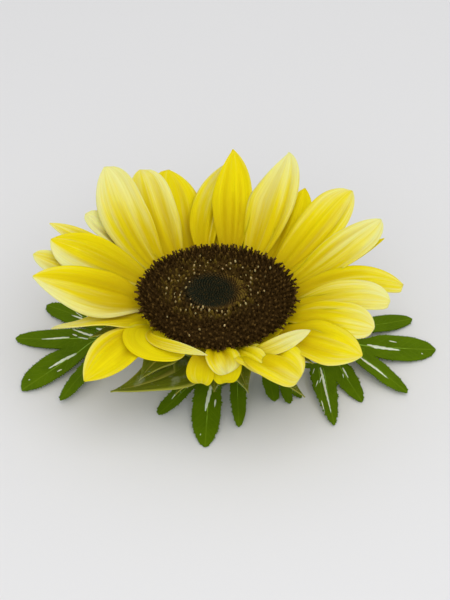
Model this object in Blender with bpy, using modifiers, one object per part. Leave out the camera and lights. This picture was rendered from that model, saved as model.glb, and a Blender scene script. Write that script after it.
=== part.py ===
"""A cut sunflower: the flower head with a short stub of its stem, set down face up with its leaves spread under it.

Metres, +Z up. The origin is the middle of the stem's flat cut end, on the surface that the flower stands on,
and -Y is the side on which the ray petals curl down.
"""

import math

import bmesh
import bpy
from mathutils import Vector

MM = 0.001

# The stem's stub: (radius, height) in mm from its top down to its cut end.
STEM_PROFILE = ((0.0, 21.9), (5.4, 21.9), (6.0, 21.2), (5.8, 12.0), (6.1, 4.0), (6.3, 0.5), (6.0, 0.0), (0.0, 0.0))
STEM_SIDES = 20

# The receptacle that carries the bracts below and the petals above.
RECEPTACLE_PROFILE = (
    (0.0, 35.0),
    (25.6, 35.0),
    (26.4, 34.2),
    (25.4, 32.0),
    (20.5, 28.6),
    (13.0, 25.4),
    (8.2, 23.6),
    (7.2, 22.2),
    (0.0, 22.2),
)
RECEPTACLE_SIDES = 36

# Bracts: thin leaves in two rows round the receptacle.
BRACT_THICKNESS = 0.75 * MM
BRACT_ROOT = {"inner": (24.4 * MM, 32.6 * MM), "outer": (18.6 * MM, 28.2 * MM)}
BRACT_STATIONS = 7
# Each bract: row, azimuth, length mm, width mm, rise, bend, curl at its tip, sweep, roll.
BRACTS = (
    ("inner", -12, 24, 12.0, 4, -10, -10, 0, 0),
    ("inner", 22, 36, 12.0, 16, -4, -6, 4, 0),
    ("inner", 46, 24, 12.0, 6, -8, -8, -6, 0),
    ("inner", 74, 25, 12.0, 8, -8, -8, 4, 0),
    ("inner", 102, 24, 12.0, 6, -8, -10, 0, 0),
    ("inner", 131, 25, 12.0, 8, -8, -6, -4, 0),
    ("inner", 160, 24, 12.0, 4, -8, -8, 4, 0),
    ("inner", 190, 25, 12.0, 0, -14, -6, 4, 0),
    ("outer", 4, 27, 12.5, -6, -12, -8, 0, 0),
    ("outer", 32, 26, 12.5, -4, -14, -10, 4, 0),
    ("outer", 60, 27, 12.5, -6, -10, -8, 0, 0),
    ("outer", 88, 26, 12.5, -4, -12, -8, 4, 0),
    ("outer", 117, 27, 12.5, -6, -10, -8, -4, 0),
    ("outer", 146, 26, 12.5, -4, -14, -8, 0, 0),
    ("outer", 175, 27, 12.5, -8, -12, -8, 4, 0),
    ("outer", 200, 28, 12.5, -14, -10, -6, 0, 0),
    ("outer", 220, 33, 15.0, -12, -10, 0, -11, 0),
    ("outer", 246, 24, 13.0, -22, -10, 0, -8, 0),
    ("outer", 268, 20, 12.0, -26, -10, 0, 0, 0),
    ("outer", 290, 21, 12.0, -24, -10, 0, 4, 0),
    ("outer", 314, 28, 12.5, -16, -10, 0, 8, 0),
    ("outer", 336, 22, 12.5, -10, -12, -6, 0, 0),
)

# The ring that the petals grow from.
RING_PROFILE = ((24.0, 37.6), (28.0, 37.6), (28.4, 37.0), (28.0, 35.4), (24.0, 35.4), (24.0, 37.6))
RING_SIDES = 48

# Ray petals.
PETAL_THICKNESS = 0.7 * MM
PETAL_STATIONS = 9
# Each layer of petals: radius and height of its roots, and how soon in its length a petal takes its sweep.
PETAL_LAYERS = {
    "low": (26.6 * MM, 36.1 * MM, 2.0),
    "high": (26.6 * MM, 36.7 * MM, 2.0),
    "rim": (27.4 * MM, 36.9 * MM, 4.0),
}
# Each petal: layer, azimuth of its root, length mm, width mm, rise of its root, bend up (+) or down (-) along it,
# extra curl near its tip, sweep to its left (+) or right (-), roll that lifts its left edge (+), all in degrees.
PETALS = (
    # the right side, from the front round to the back
    ("high", -32, 34, 17.0, 17, -38, -8, 18, 10),
    ("high", -15, 34, 12.5, 18, -26, -6, 2, 20),
    ("high", -4, 40, 12.5, 22, -24, -6, 2, 20),
    ("high", 8, 45, 14.5, 27, -36, -24, -4, 16),
    ("low", 16, 43, 12.0, 16, -6, 0, 20, 10),
    ("high", 20, 48, 14.0, 24, -14, 0, 20, 10),
    ("high", 36, 48, 16.0, 26, -10, 0, 15, 6),
    ("low", 47, 42, 13.0, 18, 0, 0, 28, 0),
    ("high", 60, 51, 15.0, 25, 0, 0, 15, 0),
    ("high", 79, 48, 14.5, 23, 2, 0, 13, 0),
    # the back, round to the left side
    ("low", 91, 43, 13.0, 16, 4, 0, -10, 0),
    ("high", 98, 45, 15.5, 21, 4, 0, -26, -4),
    ("low", 112, 44, 17.0, 18, 4, 0, -14, 0),
    ("high", 125, 45, 16.0, 21, 6, 0, -20, -4),
    ("high", 139, 51, 18.5, 23, 8, 0, -26, -10),
    ("low", 140, 41, 12.5, 20, -4, 0, 2, -8),
    ("low", 149, 47, 13.5, 20, 2, 0, 14, -14),
    ("high", 156, 43, 16.0, 22, -6, 0, 12, -24),
    ("low", 166, 46, 13.5, 16, -2, 0, 3, -18),
    ("high", 177, 44, 17.0, 20, -10, 0, 0, -28),
    # the front left
    ("low", 197, 37, 11.0, 8, -14, 0, -9, 40),
    ("high", 209, 35, 14.5, 20, -60, -16, 22, -8),
    ("low", 204, 30, 12.5, 8, -14, 0, 134, 0),
    ("rim", 213, 31, 7.0, 8, -12, 0, 125, 65),
    # the front, curled down and under
    ("low", 258, 23, 10.5, 44, -225, 0, -4, 0),
    ("low", 271, 21, 13.5, 44, -240, 0, 6, 0),
    ("high", 269, 17, 13.0, 54, -180, 0, 26, 0),
    ("high", 284, 17, 11.0, 34, -70, 0, 50, 0),
    ("low", 285, 22, 12.5, 32, -120, -20, 56, 0),
    ("high", 299, 29, 17.5, 42, -88, -40, 38, 0),
    ("rim", 300, 24, 6.5, 16, -14, 0, 90, 70),
)

# The disc: (radius, height) in mm of its face and side, from the middle of the eye out, and its relief.
DISC_FACE = (
    (0.0, 43.2),
    (3.0, 43.25),
    (6.0, 43.4),
    (8.6, 43.8),
    (10.8, 44.6),
    (13.0, 45.6),
    (15.2, 46.3),
    (17.6, 46.7),
    (20.0, 46.8),
    (22.2, 46.6),
    (24.4, 46.2),
    (26.4, 45.6),
    (28.2, 44.8),
    (29.4, 43.6),
    (29.7, 42.2),
    (29.2, 40.8),
    (28.2, 39.8),
)
DISC_UNDER = ((27.0, 39.3), (23.6, 38.6), (23.6, 35.4), (0.0, 35.4))
# The back half of the disc is a little shorter than its front half.
DISC_BACK_SHARE = 0.9
DISC_SIDES = 56
FLORET_RELIEF = 0.42 * MM
FLORET_TWIST = 2

# Leaves: thin lobed blades with a toothed edge, each on its own short stalk from the stem.
LEAF_THICKNESS = 0.7 * MM
LEAF_STALK_START = 6.3 * MM
LEAF_STALK_WIDTH = 2.8 * MM
LEAF_TIP_HEIGHT = 0.6 * MM
TOOTH_LENGTH = 3.4 * MM
TOOTH_DEPTH = 0.9 * MM
LEAF_BEND_STEP = 7.0 * MM
# Each leaf: name, end of its stalk (x, y) mm, fall from the stem to its tips mm, and each finger's root (x, y) mm,
# tip (x, y) mm and width mm.
LEAVES = (
    (
        "leaf_left",
        (-45, 17),
        11.5,
        ((-45, 20, -69.5, 41, 9.5), (-44, 17, -80, 21, 11.5), (-45, 16, -75.5, -9.5, 14.0), (-46, 11, -60.5, -15.5, 8.0)),
    ),
    (
        "leaf_right",
        (49, 13),
        14.0,
        ((47, 17.5, 78, 33, 8.5), (49, 13, 86, 15.5, 15.5), (49, 11, 73, -10.5, 9.5)),
    ),
    (
        "leaf_right_front",
        (41, 3),
        9.5,
        ((39, 3, 36.5, -13, 8.0), (41, 3, 44.2, -27.5, 10.5), (43, 4, 56, -15.5, 8.5)),
    ),
    (
        "leaf_front",
        (-2, -11),
        8.5,
        ((-5, -9, -22, -21.5, 8.0), (-3, -9, -4.6, -39, 12.5), (4, -10, 8, -29, 7.5)),
    ),
    (
        "leaf_front_small",
        (19, -5),
        12.5,
        ((19, -3, 21.3, -15, 6.5), (22, -3, 28.2, -16, 5.0), (23, -2, 33, -12.5, 4.5)),
    ),
    (
        "leaf_back_left",
        (-22, 40),
        8.5,
        ((-22, 40, -24, 66, 9.5), (-22, 40, -44, 58, 9.5), (-22, 39, -48, 42, 8.5)),
    ),
    (
        "leaf_back_right",
        (26, 40),
        8.5,
        ((26, 39, 52, 42, 8.5), (26, 40, 50, 58, 9.5), (26, 40, 28, 68, 9.5)),
    ),
)


def clear_scene():
    for item in list(bpy.data.objects):
        bpy.data.objects.remove(item)


def material(name, colour, roughness):
    made = bpy.data.materials.new(name)
    made.use_nodes = True
    shader = made.node_tree.nodes["Principled BSDF"]
    shader.inputs["Base Color"].default_value = (*colour, 1.0)
    shader.inputs["Roughness"].default_value = roughness
    return made


def finished_mesh(name, builder):
    """A mesh out of a bmesh, with its normals facing out."""
    bmesh.ops.recalc_face_normals(builder, faces=builder.faces)
    mesh = bpy.data.meshes.new(name)
    builder.to_mesh(mesh)
    builder.free()
    return mesh


def add_object(name, mesh, collection, finish=None):
    made = bpy.data.objects.new(name, mesh)
    collection.objects.link(made)
    if finish:
        mesh.materials.clear()
        mesh.materials.append(finish)
    return made


def applied(holder):
    """The object's mesh with its modifiers applied. The object itself is removed."""
    graph = bpy.context.evaluated_depsgraph_get()
    mesh = bpy.data.meshes.new_from_object(holder.evaluated_get(graph))
    bpy.data.objects.remove(holder)
    return mesh


def turned_mesh(name, profile, sides):
    """A profile of (radius, height) in mm, running from top to bottom, turned about Z by a Screw."""
    line = bpy.data.meshes.new(name)
    points = [(radius * MM, 0.0, height * MM) for radius, height in profile]
    line.from_pydata(points, [(i, i + 1) for i in range(len(points) - 1)], [])
    holder = add_object(name, line, bpy.context.scene.collection)
    screw = holder.modifiers.new("Turn", "SCREW")
    screw.steps = sides
    screw.render_steps = sides
    screw.use_merge_vertices = True
    screw.merge_threshold = 0.00001
    screw.use_smooth_shade = False
    builder = bmesh.new()
    builder.from_mesh(applied(holder))
    bmesh.ops.remove_doubles(builder, verts=builder.verts, dist=0.00001)
    return finished_mesh(name, builder)


def fused(name, base, meshes):
    """One body out of a base mesh and the meshes that overlap it."""
    scene_collection = bpy.context.scene.collection
    group = bpy.data.collections.new(f"{name} pieces")
    scene_collection.children.link(group)
    pieces = [add_object(f"{name} piece", mesh, group) for mesh in meshes]
    holder = add_object(name, base, scene_collection)
    union = holder.modifiers.new("Fuse", "BOOLEAN")
    union.operation = "UNION"
    union.solver = "MANIFOLD"
    union.operand_type = "COLLECTION"
    union.collection = group
    mesh = applied(holder)
    for piece in pieces:
        bpy.data.objects.remove(piece)
    bpy.data.collections.remove(group)
    return mesh


def petal_outline(share):
    """Half-width along a petal, as a share of its widest: a narrow root, widest past the middle, a short point."""
    widest = 0.56
    if share < widest:
        return 0.36 + 0.64 * math.sin(0.5 * math.pi * share / widest) ** 1.1
    past = (share - widest) / (1.0 - widest)
    return max(0.0, 1.0 - past**2.1) ** 0.8


def bract_outline(share):
    """Half-width along a bract: broad near its root, then drawn out to a long thin tip."""
    if share < 0.25:
        return 0.8 + 0.2 * math.sin(0.5 * math.pi * share / 0.25)
    past = (share - 0.25) / 0.75
    return max(0.0, 1.0 - past**1.2) ** 1.3


def blade_stations(root_radius, root_height, blade, count, haste=2.0):
    """Centre, side, normal and share at each station of a blade, from its root to its tip."""
    azimuth, length, _, rise, bend, curl, sweep, roll = blade
    start = math.radians(azimuth)
    point = Vector((root_radius * math.cos(start), root_radius * math.sin(start), root_height))
    stations = []
    fine = 12
    total = (count - 1) * fine
    for i in range(total + 1):
        share = i / total
        heading = math.radians(azimuth + sweep * (1.0 - (1.0 - share) ** haste))
        climb = math.radians(rise + bend * share + curl * share**4)
        along = Vector((math.cos(climb) * math.cos(heading), math.cos(climb) * math.sin(heading), math.sin(climb)))
        up = Vector((-math.sin(climb) * math.cos(heading), -math.sin(climb) * math.sin(heading), math.cos(climb)))
        left = up.cross(along)
        turn = math.radians(roll * (1.0 - (1.0 - share) ** 2))
        side = left * math.cos(turn) + up * math.sin(turn)
        normal = up * math.cos(turn) - left * math.sin(turn)
        if i % fine == 0:
            stations.append((point.copy(), side, normal, share))
        point += along * (length * MM / total)
    return stations


def blade_mesh(name, stations, width, outline, thickness, cup):
    """A thin closed blade: a grid bent along its mid-line, cupped across it, and given its thickness."""
    count = len(stations)
    builder = bmesh.new()
    bmesh.ops.create_grid(builder, x_segments=count - 1, y_segments=2, size=1.0)
    for vertex in builder.verts:
        row = round((vertex.co.x + 1.0) * 0.5 * (count - 1))
        across = vertex.co.y
        point, side, normal, share = stations[row]
        half = 0.5 * width * max(outline(share), 0.06)
        vertex.co = point + side * (across * half) + normal * (cup * half * (across * across - 0.4))
    bmesh.ops.triangulate(builder, faces=builder.faces)
    bmesh.ops.solidify(builder, geom=builder.faces[:], thickness=thickness)
    return finished_mesh(name, builder)


def petal_stations(petal, count):
    radius, height, haste = PETAL_LAYERS[petal[0]]
    return blade_stations(radius, height, petal[1:], count, haste)


def petal_mesh(petal):
    stations = petal_stations(petal, PETAL_STATIONS)
    return blade_mesh("petal", stations, petal[3] * MM, petal_outline, PETAL_THICKNESS, 0.16)


def bract_mesh(bract):
    stations = blade_stations(*BRACT_ROOT[bract[0]], bract[1:], BRACT_STATIONS)
    return blade_mesh("bract", stations, bract[3] * MM, bract_outline, BRACT_THICKNESS, 0.2)


def disc_mesh():
    """The disc turned from its face, side and under, its face raised and lowered in crossed spirals of florets."""
    rings = len(DISC_FACE)
    mesh = turned_mesh("disc", DISC_FACE + DISC_UNDER, DISC_SIDES)
    heights = [height for _, height in DISC_FACE]
    for vertex in mesh.vertices:
        radius = math.hypot(vertex.co.x, vertex.co.y)
        near = min(range(rings), key=lambda i: abs(DISC_FACE[i][0] * MM - radius) + abs(heights[i] * MM - vertex.co.z))
        apart = abs(DISC_FACE[near][0] * MM - radius) + abs(heights[near] * MM - vertex.co.z)
        if apart > 0.00002 or near == 0:
            continue
        step = round(math.atan2(vertex.co.y, vertex.co.x) / (2.0 * math.pi) * DISC_SIDES)
        raised = 1.0 if (step + FLORET_TWIST * near + near) % 2 else -1.0
        strength = FLORET_RELIEF * min(1.0, 0.3 + near / 9.0)
        outward = 0.6 if near >= rings - 4 else 0.0
        vertex.co.z += raised * strength * (1.0 - outward)
        if radius > 0.0:
            grown = 1.0 + raised * outward * strength / radius
            vertex.co.x *= grown
            vertex.co.y *= grown
    for vertex in mesh.vertices:
        if vertex.co.y > 0.0:
            vertex.co.y *= DISC_BACK_SHARE
    return mesh


def finger_half_width(share, width):
    """Half-width of a leaf's finger: waisted at its root, widest past its middle, then a blunt point."""
    widest = 0.62
    if share < widest:
        return 0.5 * width * (0.46 + 0.54 * math.sin(0.5 * math.pi * share / widest) ** 3)
    past = (share - widest) / (1.0 - widest)
    return 0.5 * width * max(0.0, 1.0 - past**2.4) ** 0.7


def finger_points(root, tip, width):
    """A finger's outline from its root to its tip and back, with teeth that point forward."""
    ray = tip - root
    left = Vector((-ray.y, ray.x)).normalized()
    teeth = max(3, round(ray.length / TOOTH_LENGTH))
    right_side = []
    left_side = []
    for sign, side in ((-1.0, right_side), (1.0, left_side)):
        side.append(root + left * (sign * 0.4 * width))
        for tooth in range(1, teeth):
            for share, depth in (((tooth - 0.25) / teeth, TOOTH_DEPTH), (tooth / teeth, 0.0)):
                half = finger_half_width(share, width) + depth * (1.0 - 0.8 * share)
                side.append(root + ray * share + left * (sign * half))
        side.append(root + ray * 0.975 + left * (sign * 0.14 * width))
    return right_side + [tip] + left_side[::-1]


def flat_mesh(name, points):
    """A filled 2-D outline given the leaf's thickness."""
    curve = bpy.data.curves.new(name, "CURVE")
    curve.dimensions = "2D"
    curve.fill_mode = "BOTH"
    curve.extrude = 0.5 * LEAF_THICKNESS
    spline = curve.splines.new("POLY")
    spline.points.add(len(points) - 1)
    spline.use_cyclic_u = True
    for point, place in zip(spline.points, points):
        point.co = (place.x, place.y, 0.0, 1.0)
    holder = bpy.data.objects.new(name, curve)
    bpy.context.scene.collection.objects.link(holder)
    builder = bmesh.new()
    builder.from_mesh(applied(holder))
    bmesh.ops.remove_doubles(builder, verts=builder.verts, dist=0.00001)
    return finished_mesh(name, builder)


def leaf_height(fall, farthest, radius):
    share = min(1.0, max(0.0, (radius - LEAF_STALK_START) / (farthest - LEAF_STALK_START)))
    return LEAF_TIP_HEIGHT + fall * MM * (1.0 - share) ** 1.5


def leaf_mesh(name, palm, fall, fingers):
    """A stalk and toothed fingers fused flat, cut across every few millimetres and bent down to the surface."""
    middle = Vector(palm) * MM
    outward = middle.normalized()
    across = Vector((-outward.y, outward.x)) * 0.5 * LEAF_STALK_WIDTH
    start = outward * LEAF_STALK_START
    stalk = flat_mesh(name, [start + across, start - across, middle - across, middle + outward * 2 * MM, middle + across])
    blades = []
    for root_x, root_y, tip_x, tip_y, width in fingers:
        root = Vector((root_x, root_y)) * MM
        tip = Vector((tip_x, tip_y)) * MM
        blades.append(flat_mesh(name, finger_points(root, tip, width * MM)))
    builder = bmesh.new()
    builder.from_mesh(fused(name, stalk, blades))
    bmesh.ops.remove_doubles(builder, verts=builder.verts, dist=0.00001)
    bmesh.ops.dissolve_limit(builder, angle_limit=0.01, verts=builder.verts, edges=builder.edges)
    farthest = max(math.hypot(finger[2], finger[3]) for finger in fingers) * MM
    for cut in range(1, int(farthest / LEAF_BEND_STEP)):
        place = outward * (LEAF_STALK_START + cut * LEAF_BEND_STEP)
        geometry = builder.verts[:] + builder.edges[:] + builder.faces[:]
        bmesh.ops.bisect_plane(
            builder, geom=geometry, dist=0.00002, plane_co=(*place, 0.0), plane_no=(*outward, 0.0)
        )
    bmesh.ops.triangulate(builder, faces=builder.faces)
    for vertex in builder.verts:
        vertex.co.z += leaf_height(fall, farthest, math.hypot(vertex.co.x, vertex.co.y))
    return finished_mesh(name, builder)


def main():
    clear_scene()
    collection = bpy.data.collections.new("sunflower")
    bpy.context.scene.collection.children.link(collection)
    yellow = material("petal yellow", (0.83, 0.68, 0.02), 0.5)
    brown = material("floret brown", (0.035, 0.018, 0.010), 0.7)
    olive = material("bract green", (0.16, 0.19, 0.03), 0.6)
    green = material("leaf green", (0.061, 0.107, 0.004), 0.6)
    pale = material("stem green", (0.22, 0.30, 0.07), 0.6)

    add_object("stem", turned_mesh("stem", STEM_PROFILE, STEM_SIDES), collection, pale)
    receptacle = turned_mesh("calyx", RECEPTACLE_PROFILE, RECEPTACLE_SIDES)
    calyx = fused("calyx", receptacle, [bract_mesh(bract) for bract in BRACTS])
    add_object("calyx", calyx, collection, olive)
    ring = turned_mesh("ray_petals", RING_PROFILE, RING_SIDES)
    petals = fused("ray_petals", ring, [petal_mesh(petal) for petal in PETALS])
    add_object("ray_petals", petals, collection, yellow)
    add_object("disc", disc_mesh(), collection, brown)
    for name, palm, fall, fingers in LEAVES:
        add_object(name, leaf_mesh(name, palm, fall, fingers), collection, green)


main()
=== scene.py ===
"""A cut sunflower: its finished pieces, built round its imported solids.

Ray petals, disc, calyx, leaves and stem each take the place of their solid. Metres, +Z up, with the
stem's cut end at the origin. -Y is the side on which the ray petals curl down.
"""

import math
import random
from contextlib import contextmanager
from dataclasses import dataclass

import bmesh
import bpy
import numpy as np
from mathutils import Matrix, Vector


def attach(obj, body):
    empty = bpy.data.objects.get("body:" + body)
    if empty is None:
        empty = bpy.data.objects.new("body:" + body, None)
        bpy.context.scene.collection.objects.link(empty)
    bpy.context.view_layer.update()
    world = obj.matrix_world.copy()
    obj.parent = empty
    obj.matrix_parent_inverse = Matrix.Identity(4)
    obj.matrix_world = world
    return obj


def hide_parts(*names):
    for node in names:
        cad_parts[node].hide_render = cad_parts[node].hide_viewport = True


bl_info = {
    "name": "Cut Sunflower",
    "version": (1, 0, 0),
    "blender": (4, 5, 0),
    "location": "View3D > Sidebar > Sunflower",
    "description": "Builds the petals, disc, calyx, leaves and stem of a cut sunflower",
    "category": "Object",
}

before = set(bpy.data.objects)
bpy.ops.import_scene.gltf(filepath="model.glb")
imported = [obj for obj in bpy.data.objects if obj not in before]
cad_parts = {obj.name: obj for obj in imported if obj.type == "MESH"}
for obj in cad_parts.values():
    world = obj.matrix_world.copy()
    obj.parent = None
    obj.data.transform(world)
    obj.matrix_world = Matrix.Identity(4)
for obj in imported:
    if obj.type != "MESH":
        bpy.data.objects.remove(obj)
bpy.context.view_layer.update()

MM = 0.001
UP = Vector((0.0, 0.0, 1.0))
FULL_TURN = 2.0 * math.pi
GOLDEN_ANGLE = math.pi * (3.0 - math.sqrt(5.0))
BODY = "root"
ROUND_SIDES = 72  # of a large round body
SEEDS = {"petals": 11, "disc": 5, "calyx": 21, "stem": 8, "leaves": 3}  # of the random draws
MERGE = 0.001 * MM  # doubles closer than this are merged
FLAT_MERGE = 0.01 * MM  # and in a flat outline

# ---------------------------------------------------------------- petals and bracts

# Where blades grow: radius and height of their roots mm, and how soon along it a blade takes its sweep.
BLADE_LAYERS = {
    "low": (26.6, 36.1, 2.0),
    "high": (26.6, 36.7, 2.0),
    "rim": (27.4, 36.9, 4.0),
    "inner": (24.4, 32.6, 2.0),
    "outer": (18.6, 28.2, 2.0),
}


@dataclass
class Blade:
    """One ray petal or bract. Angles in degrees, lengths in mm, the rest shares of 1."""

    layer: str
    azimuth: float  # of its root
    length: float
    width: float
    rise: float  # of its root
    bend: float = 0.0  # along it
    curl: float = 0.0  # extra bend near its tip
    sweep: float = 0.0  # to its left
    roll: float = 0.0  # lifts its left edge
    left: float = 1.0  # width of its left half
    right: float = 1.0
    blunt: tuple = (0.0, 0.0)  # how full the tip is, left and right
    widest: float = 0.56  # where along it is widest
    ridges: float = 1.0  # depth of its ridges
    pale: float = 0.35  # how far its pale tip reaches
    gold: float = 0.5  # how deep the gold at its root is: partly its own colour, partly painted shade
    painted_highlight_side: float = 0.0  # painted highlight: right (-1) or left (1) edge paler
    lift: float = 0.0  # of its root, mm


PETALS = {
    "petals_right": (
        Blade("high", -32, 34, 17.0, 17, -38, -8, 18, 10, right=1.35, pale=0.3, gold=0.8,
              painted_highlight_side=-0.4),
        Blade("high", -15, 34, 15.0, 16, -24, -6, 2, 26, right=0.95, blunt=(0.5, 1.1), ridges=0.6,
              pale=0.55, gold=0.6, lift=0.5),
        Blade("high", -4, 39, 15.5, 21.5, -24, -6, 2, 30, right=0.57, blunt=(0.6, 1.8), ridges=0.6,
              pale=0.6, gold=0.5, painted_highlight_side=0.3),
        Blade("high", 8, 46, 14.5, 25, -32, -24, -4, 20, left=0.94, right=0.8, blunt=(-0.3, 1.6),
              pale=0.4, gold=0.8),
        Blade("low", 17, 45, 6.4, 15, -4, 0, 16, 10, right=0.6, pale=0.1, gold=1.0),
        Blade("high", 20, 48, 14.0, 24, -14, 0, 20, 10, right=1.2, blunt=(0.1, 0.5), pale=0.7, gold=0.5),
        Blade("high", 36, 48, 16.5, 26, -10, 0, 15, 6, left=1.15, blunt=(0.8, 0.1), ridges=1.4,
              pale=0.45, gold=0.7),
    ),
    "petals_back": (
        Blade("low", 47, 42, 13.0, 18, 0, 0, 28, 0, pale=0.1, gold=0.9),
        Blade("high", 61, 51, 15.0, 25, 0, 0, 14, 0, left=1.43, blunt=(-0.5, 0.4), ridges=1.3, pale=0.7,
              gold=0.5),
        Blade("high", 80, 48, 15.0, 25, 2, 0, 12, 0, left=1.15, right=0.95, blunt=(-0.4, 0.0),
              ridges=1.2, pale=0.2, gold=1.0),
        Blade("low", 96, 37, 13.0, 13, 0, 0, -4, 0, pale=0.3),
        Blade("high", 98, 45.5, 15.5, 17.5, 2, 0, -27, -2, left=1.02, right=0.6, blunt=(-0.15, 0.0),
              widest=0.5, pale=0.5, gold=0.7, lift=0.3),
        Blade("low", 112, 46, 17.0, 15.5, 4, 0, -14, 10, left=0.85, right=1.3, widest=0.64,
              blunt=(0.9, 0.0), pale=0.2, gold=0.8, painted_highlight_side=-0.3, lift=-0.9),
        Blade("high", 125, 45, 16.0, 21, 6, 0, -20, -4, right=1.22, widest=0.5, blunt=(0.4, 1.1),
              ridges=1.2, pale=0.5, gold=0.7, painted_highlight_side=-0.3),
    ),
    "petals_left": (
        Blade("high", 139, 51, 18.5, 22.5, 8, 0, -26, -10, left=1.0, blunt=(0.0, 0.9), ridges=1.4,
              pale=0.7, gold=0.6, painted_highlight_side=0.4),
        Blade("low", 140, 40.5, 12.0, 18, 0, 0, 4, -8, blunt=(0.9, 1.0), left=0.8, pale=0.9, gold=0.2),
        Blade("low", 151, 47, 13.5, 18.5, 6, 0, 12, -14, left=0.5, right=0.75, pale=0.45, gold=0.5,
              painted_highlight_side=0.6),
        Blade("high", 156, 43, 16.0, 22, -6, 0, 12, -24, left=1.3, blunt=(0.45, 0.0), pale=0.3,
              gold=0.6, painted_highlight_side=1.6),
        Blade("low", 164.5, 47, 14.0, 15.5, -2, 0, 3, -18, right=0.6, blunt=(0.5, 1.0), pale=0.5,
              gold=0.4, painted_highlight_side=1.0, lift=-0.8),
        Blade("high", 177, 44, 17.0, 20, -10, 0, 0, -28, left=1.44, blunt=(-0.18, 0.1), widest=0.38,
              pale=0.3, gold=0.8, painted_highlight_side=1.4),
        Blade("low", 197, 37, 13.0, 14.5, -22, 0, -9, 38, left=1.2, right=1.3, blunt=(1.0, 0.6),
              widest=0.55, ridges=0.5, pale=0.6, gold=0.3),
        Blade("high", 209, 36, 15.5, 20, -56, -14, 18, -8, left=1.5, right=0.78, blunt=(-0.15, -0.15),
              pale=0.2, gold=0.2, painted_highlight_side=-0.5),
    ),
    "petals_front": (
        Blade("high", 206, 29.5, 17.0, 22, -34, 0, 142, 0, blunt=(0.3, 0.5), widest=0.5, ridges=0.15,
              pale=0.2, gold=0.1),
        Blade("rim", 213, 34, 4.2, 22, -22, 0, 122, 60, blunt=(-0.2, -0.2), ridges=0.6, pale=0.6,
              gold=0.5, lift=0.9),
        Blade("low", 261, 20, 10.6, 42, -200, 0, -6, 0, blunt=(-0.4, -0.3), widest=0.55, ridges=0.2,
              pale=0.3, gold=1.0, lift=1.0),
        Blade("low", 275, 17.5, 11.8, 36, -185, 0, 6, 0, blunt=(-0.3, -0.3), widest=0.45, ridges=0.3,
              pale=0.1, gold=0.4, lift=0.8),
        Blade("high", 271, 14.5, 13.0, 60, -160, 0, 30, 0, blunt=(0.4, 0.0), ridges=1.4, pale=0.6,
              gold=0.5, lift=1.9),
        Blade("high", 285, 16, 10.0, 38, -80, 0, 50, 0, blunt=(0.8, 0.8), pale=0.4, gold=0.6, lift=1.2),
        Blade("low", 288, 16.5, 12.0, 36, -100, 0, 58, 0, blunt=(0.6, 0.9), pale=0.6, gold=0.3,
              lift=1.5),
        Blade("high", 299, 25.5, 18.6, 32, -54, -42, 34, -4, left=1.0, right=1.3, blunt=(0.5, 1.1),
              ridges=1.3, pale=0.4, gold=0.6, lift=-0.3),
        Blade("rim", 293.5, 26.5, 6.2, 21, -12, 0, 90, 62, ridges=0.5, pale=0.95, gold=0.2, lift=0.7),
    ),
}
PETAL_ROWS = 44
PETAL_COLUMNS = 26
PETAL_ROOT_WIDTH = 0.36  # as a share of its widest
GROOVE_SPAN = 0.62  # how far across a petal its grooves lie
# The ring that the petals grow from: (radius, height) mm.
RING_PROFILE = ((24.2, 37.5), (27.8, 37.5), (28.3, 37.0), (27.9, 35.5), (24.2, 35.5))

BRACTS = [
    Blade(*row)
    for row in (
        ("inner", -12, 24, 12.0, 4, -10, -10, 0),
        ("inner", 22, 36, 12.0, 16, -4, -6, 4),
        ("inner", 46, 24, 12.0, 6, -8, -8, -6),
        ("inner", 74, 25, 12.0, 8, -8, -8, 4),
        ("inner", 102, 24, 12.0, 6, -8, -10, 0),
        ("inner", 131, 25, 12.0, 8, -8, -6, -4),
        ("inner", 160, 24, 12.0, 4, -8, -8, 4),
        ("inner", 190, 25, 12.0, 0, -14, -6, 4),
        ("outer", 4, 27, 12.5, -6, -12, -8, 0),
        ("outer", 32, 26, 12.5, -4, -14, -10, 4),
        ("outer", 60, 27, 12.5, -6, -10, -8, 0),
        ("outer", 88, 26, 12.5, -4, -12, -8, 4),
        ("outer", 117, 27, 12.5, -6, -10, -8, -4),
        ("outer", 146, 26, 12.5, -4, -14, -8, 0),
        ("outer", 175, 27, 12.5, -8, -12, -8, 4),
        ("outer", 200, 28, 12.5, -14, -10, -6, 0),
        ("outer", 239, 35, 25.0, -13, -2, 4, -52),
        ("inner", 225, 18, 15.0, -16, -26, -6, -6),
        ("outer", 246, 18, 16.0, -22, -10, 0, -8),
        ("outer", 268, 14, 13.0, -26, -10, 0, 0),
        ("outer", 290, 16, 12.0, -24, -10, 0, 4),
        ("outer", 314, 28, 12.5, -16, -10, 0, 8),
        ("outer", 336, 22, 12.5, -10, -12, -6, 0),
    )
]
BRACT_ROWS = 26
BRACT_COLUMNS = 10
BRACT_WIDEST = 0.25
STEPS_PER_ROW = 6  # small steps that a blade's middle line takes from row to row
RECEPTACLE_PROFILE = (
    (25.6, 35.0), (26.3, 34.4), (26.3, 33.6), (25.4, 32.0), (23.2, 30.3), (20.5, 28.6),
    (16.8, 27.0), (13.0, 25.4), (10.2, 24.4), (8.2, 23.6), (7.4, 22.8), (7.1, 22.2),
)
RECEPTACLE_HAIRS = 500

# ---------------------------------------------------------------- disc and stem

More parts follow.
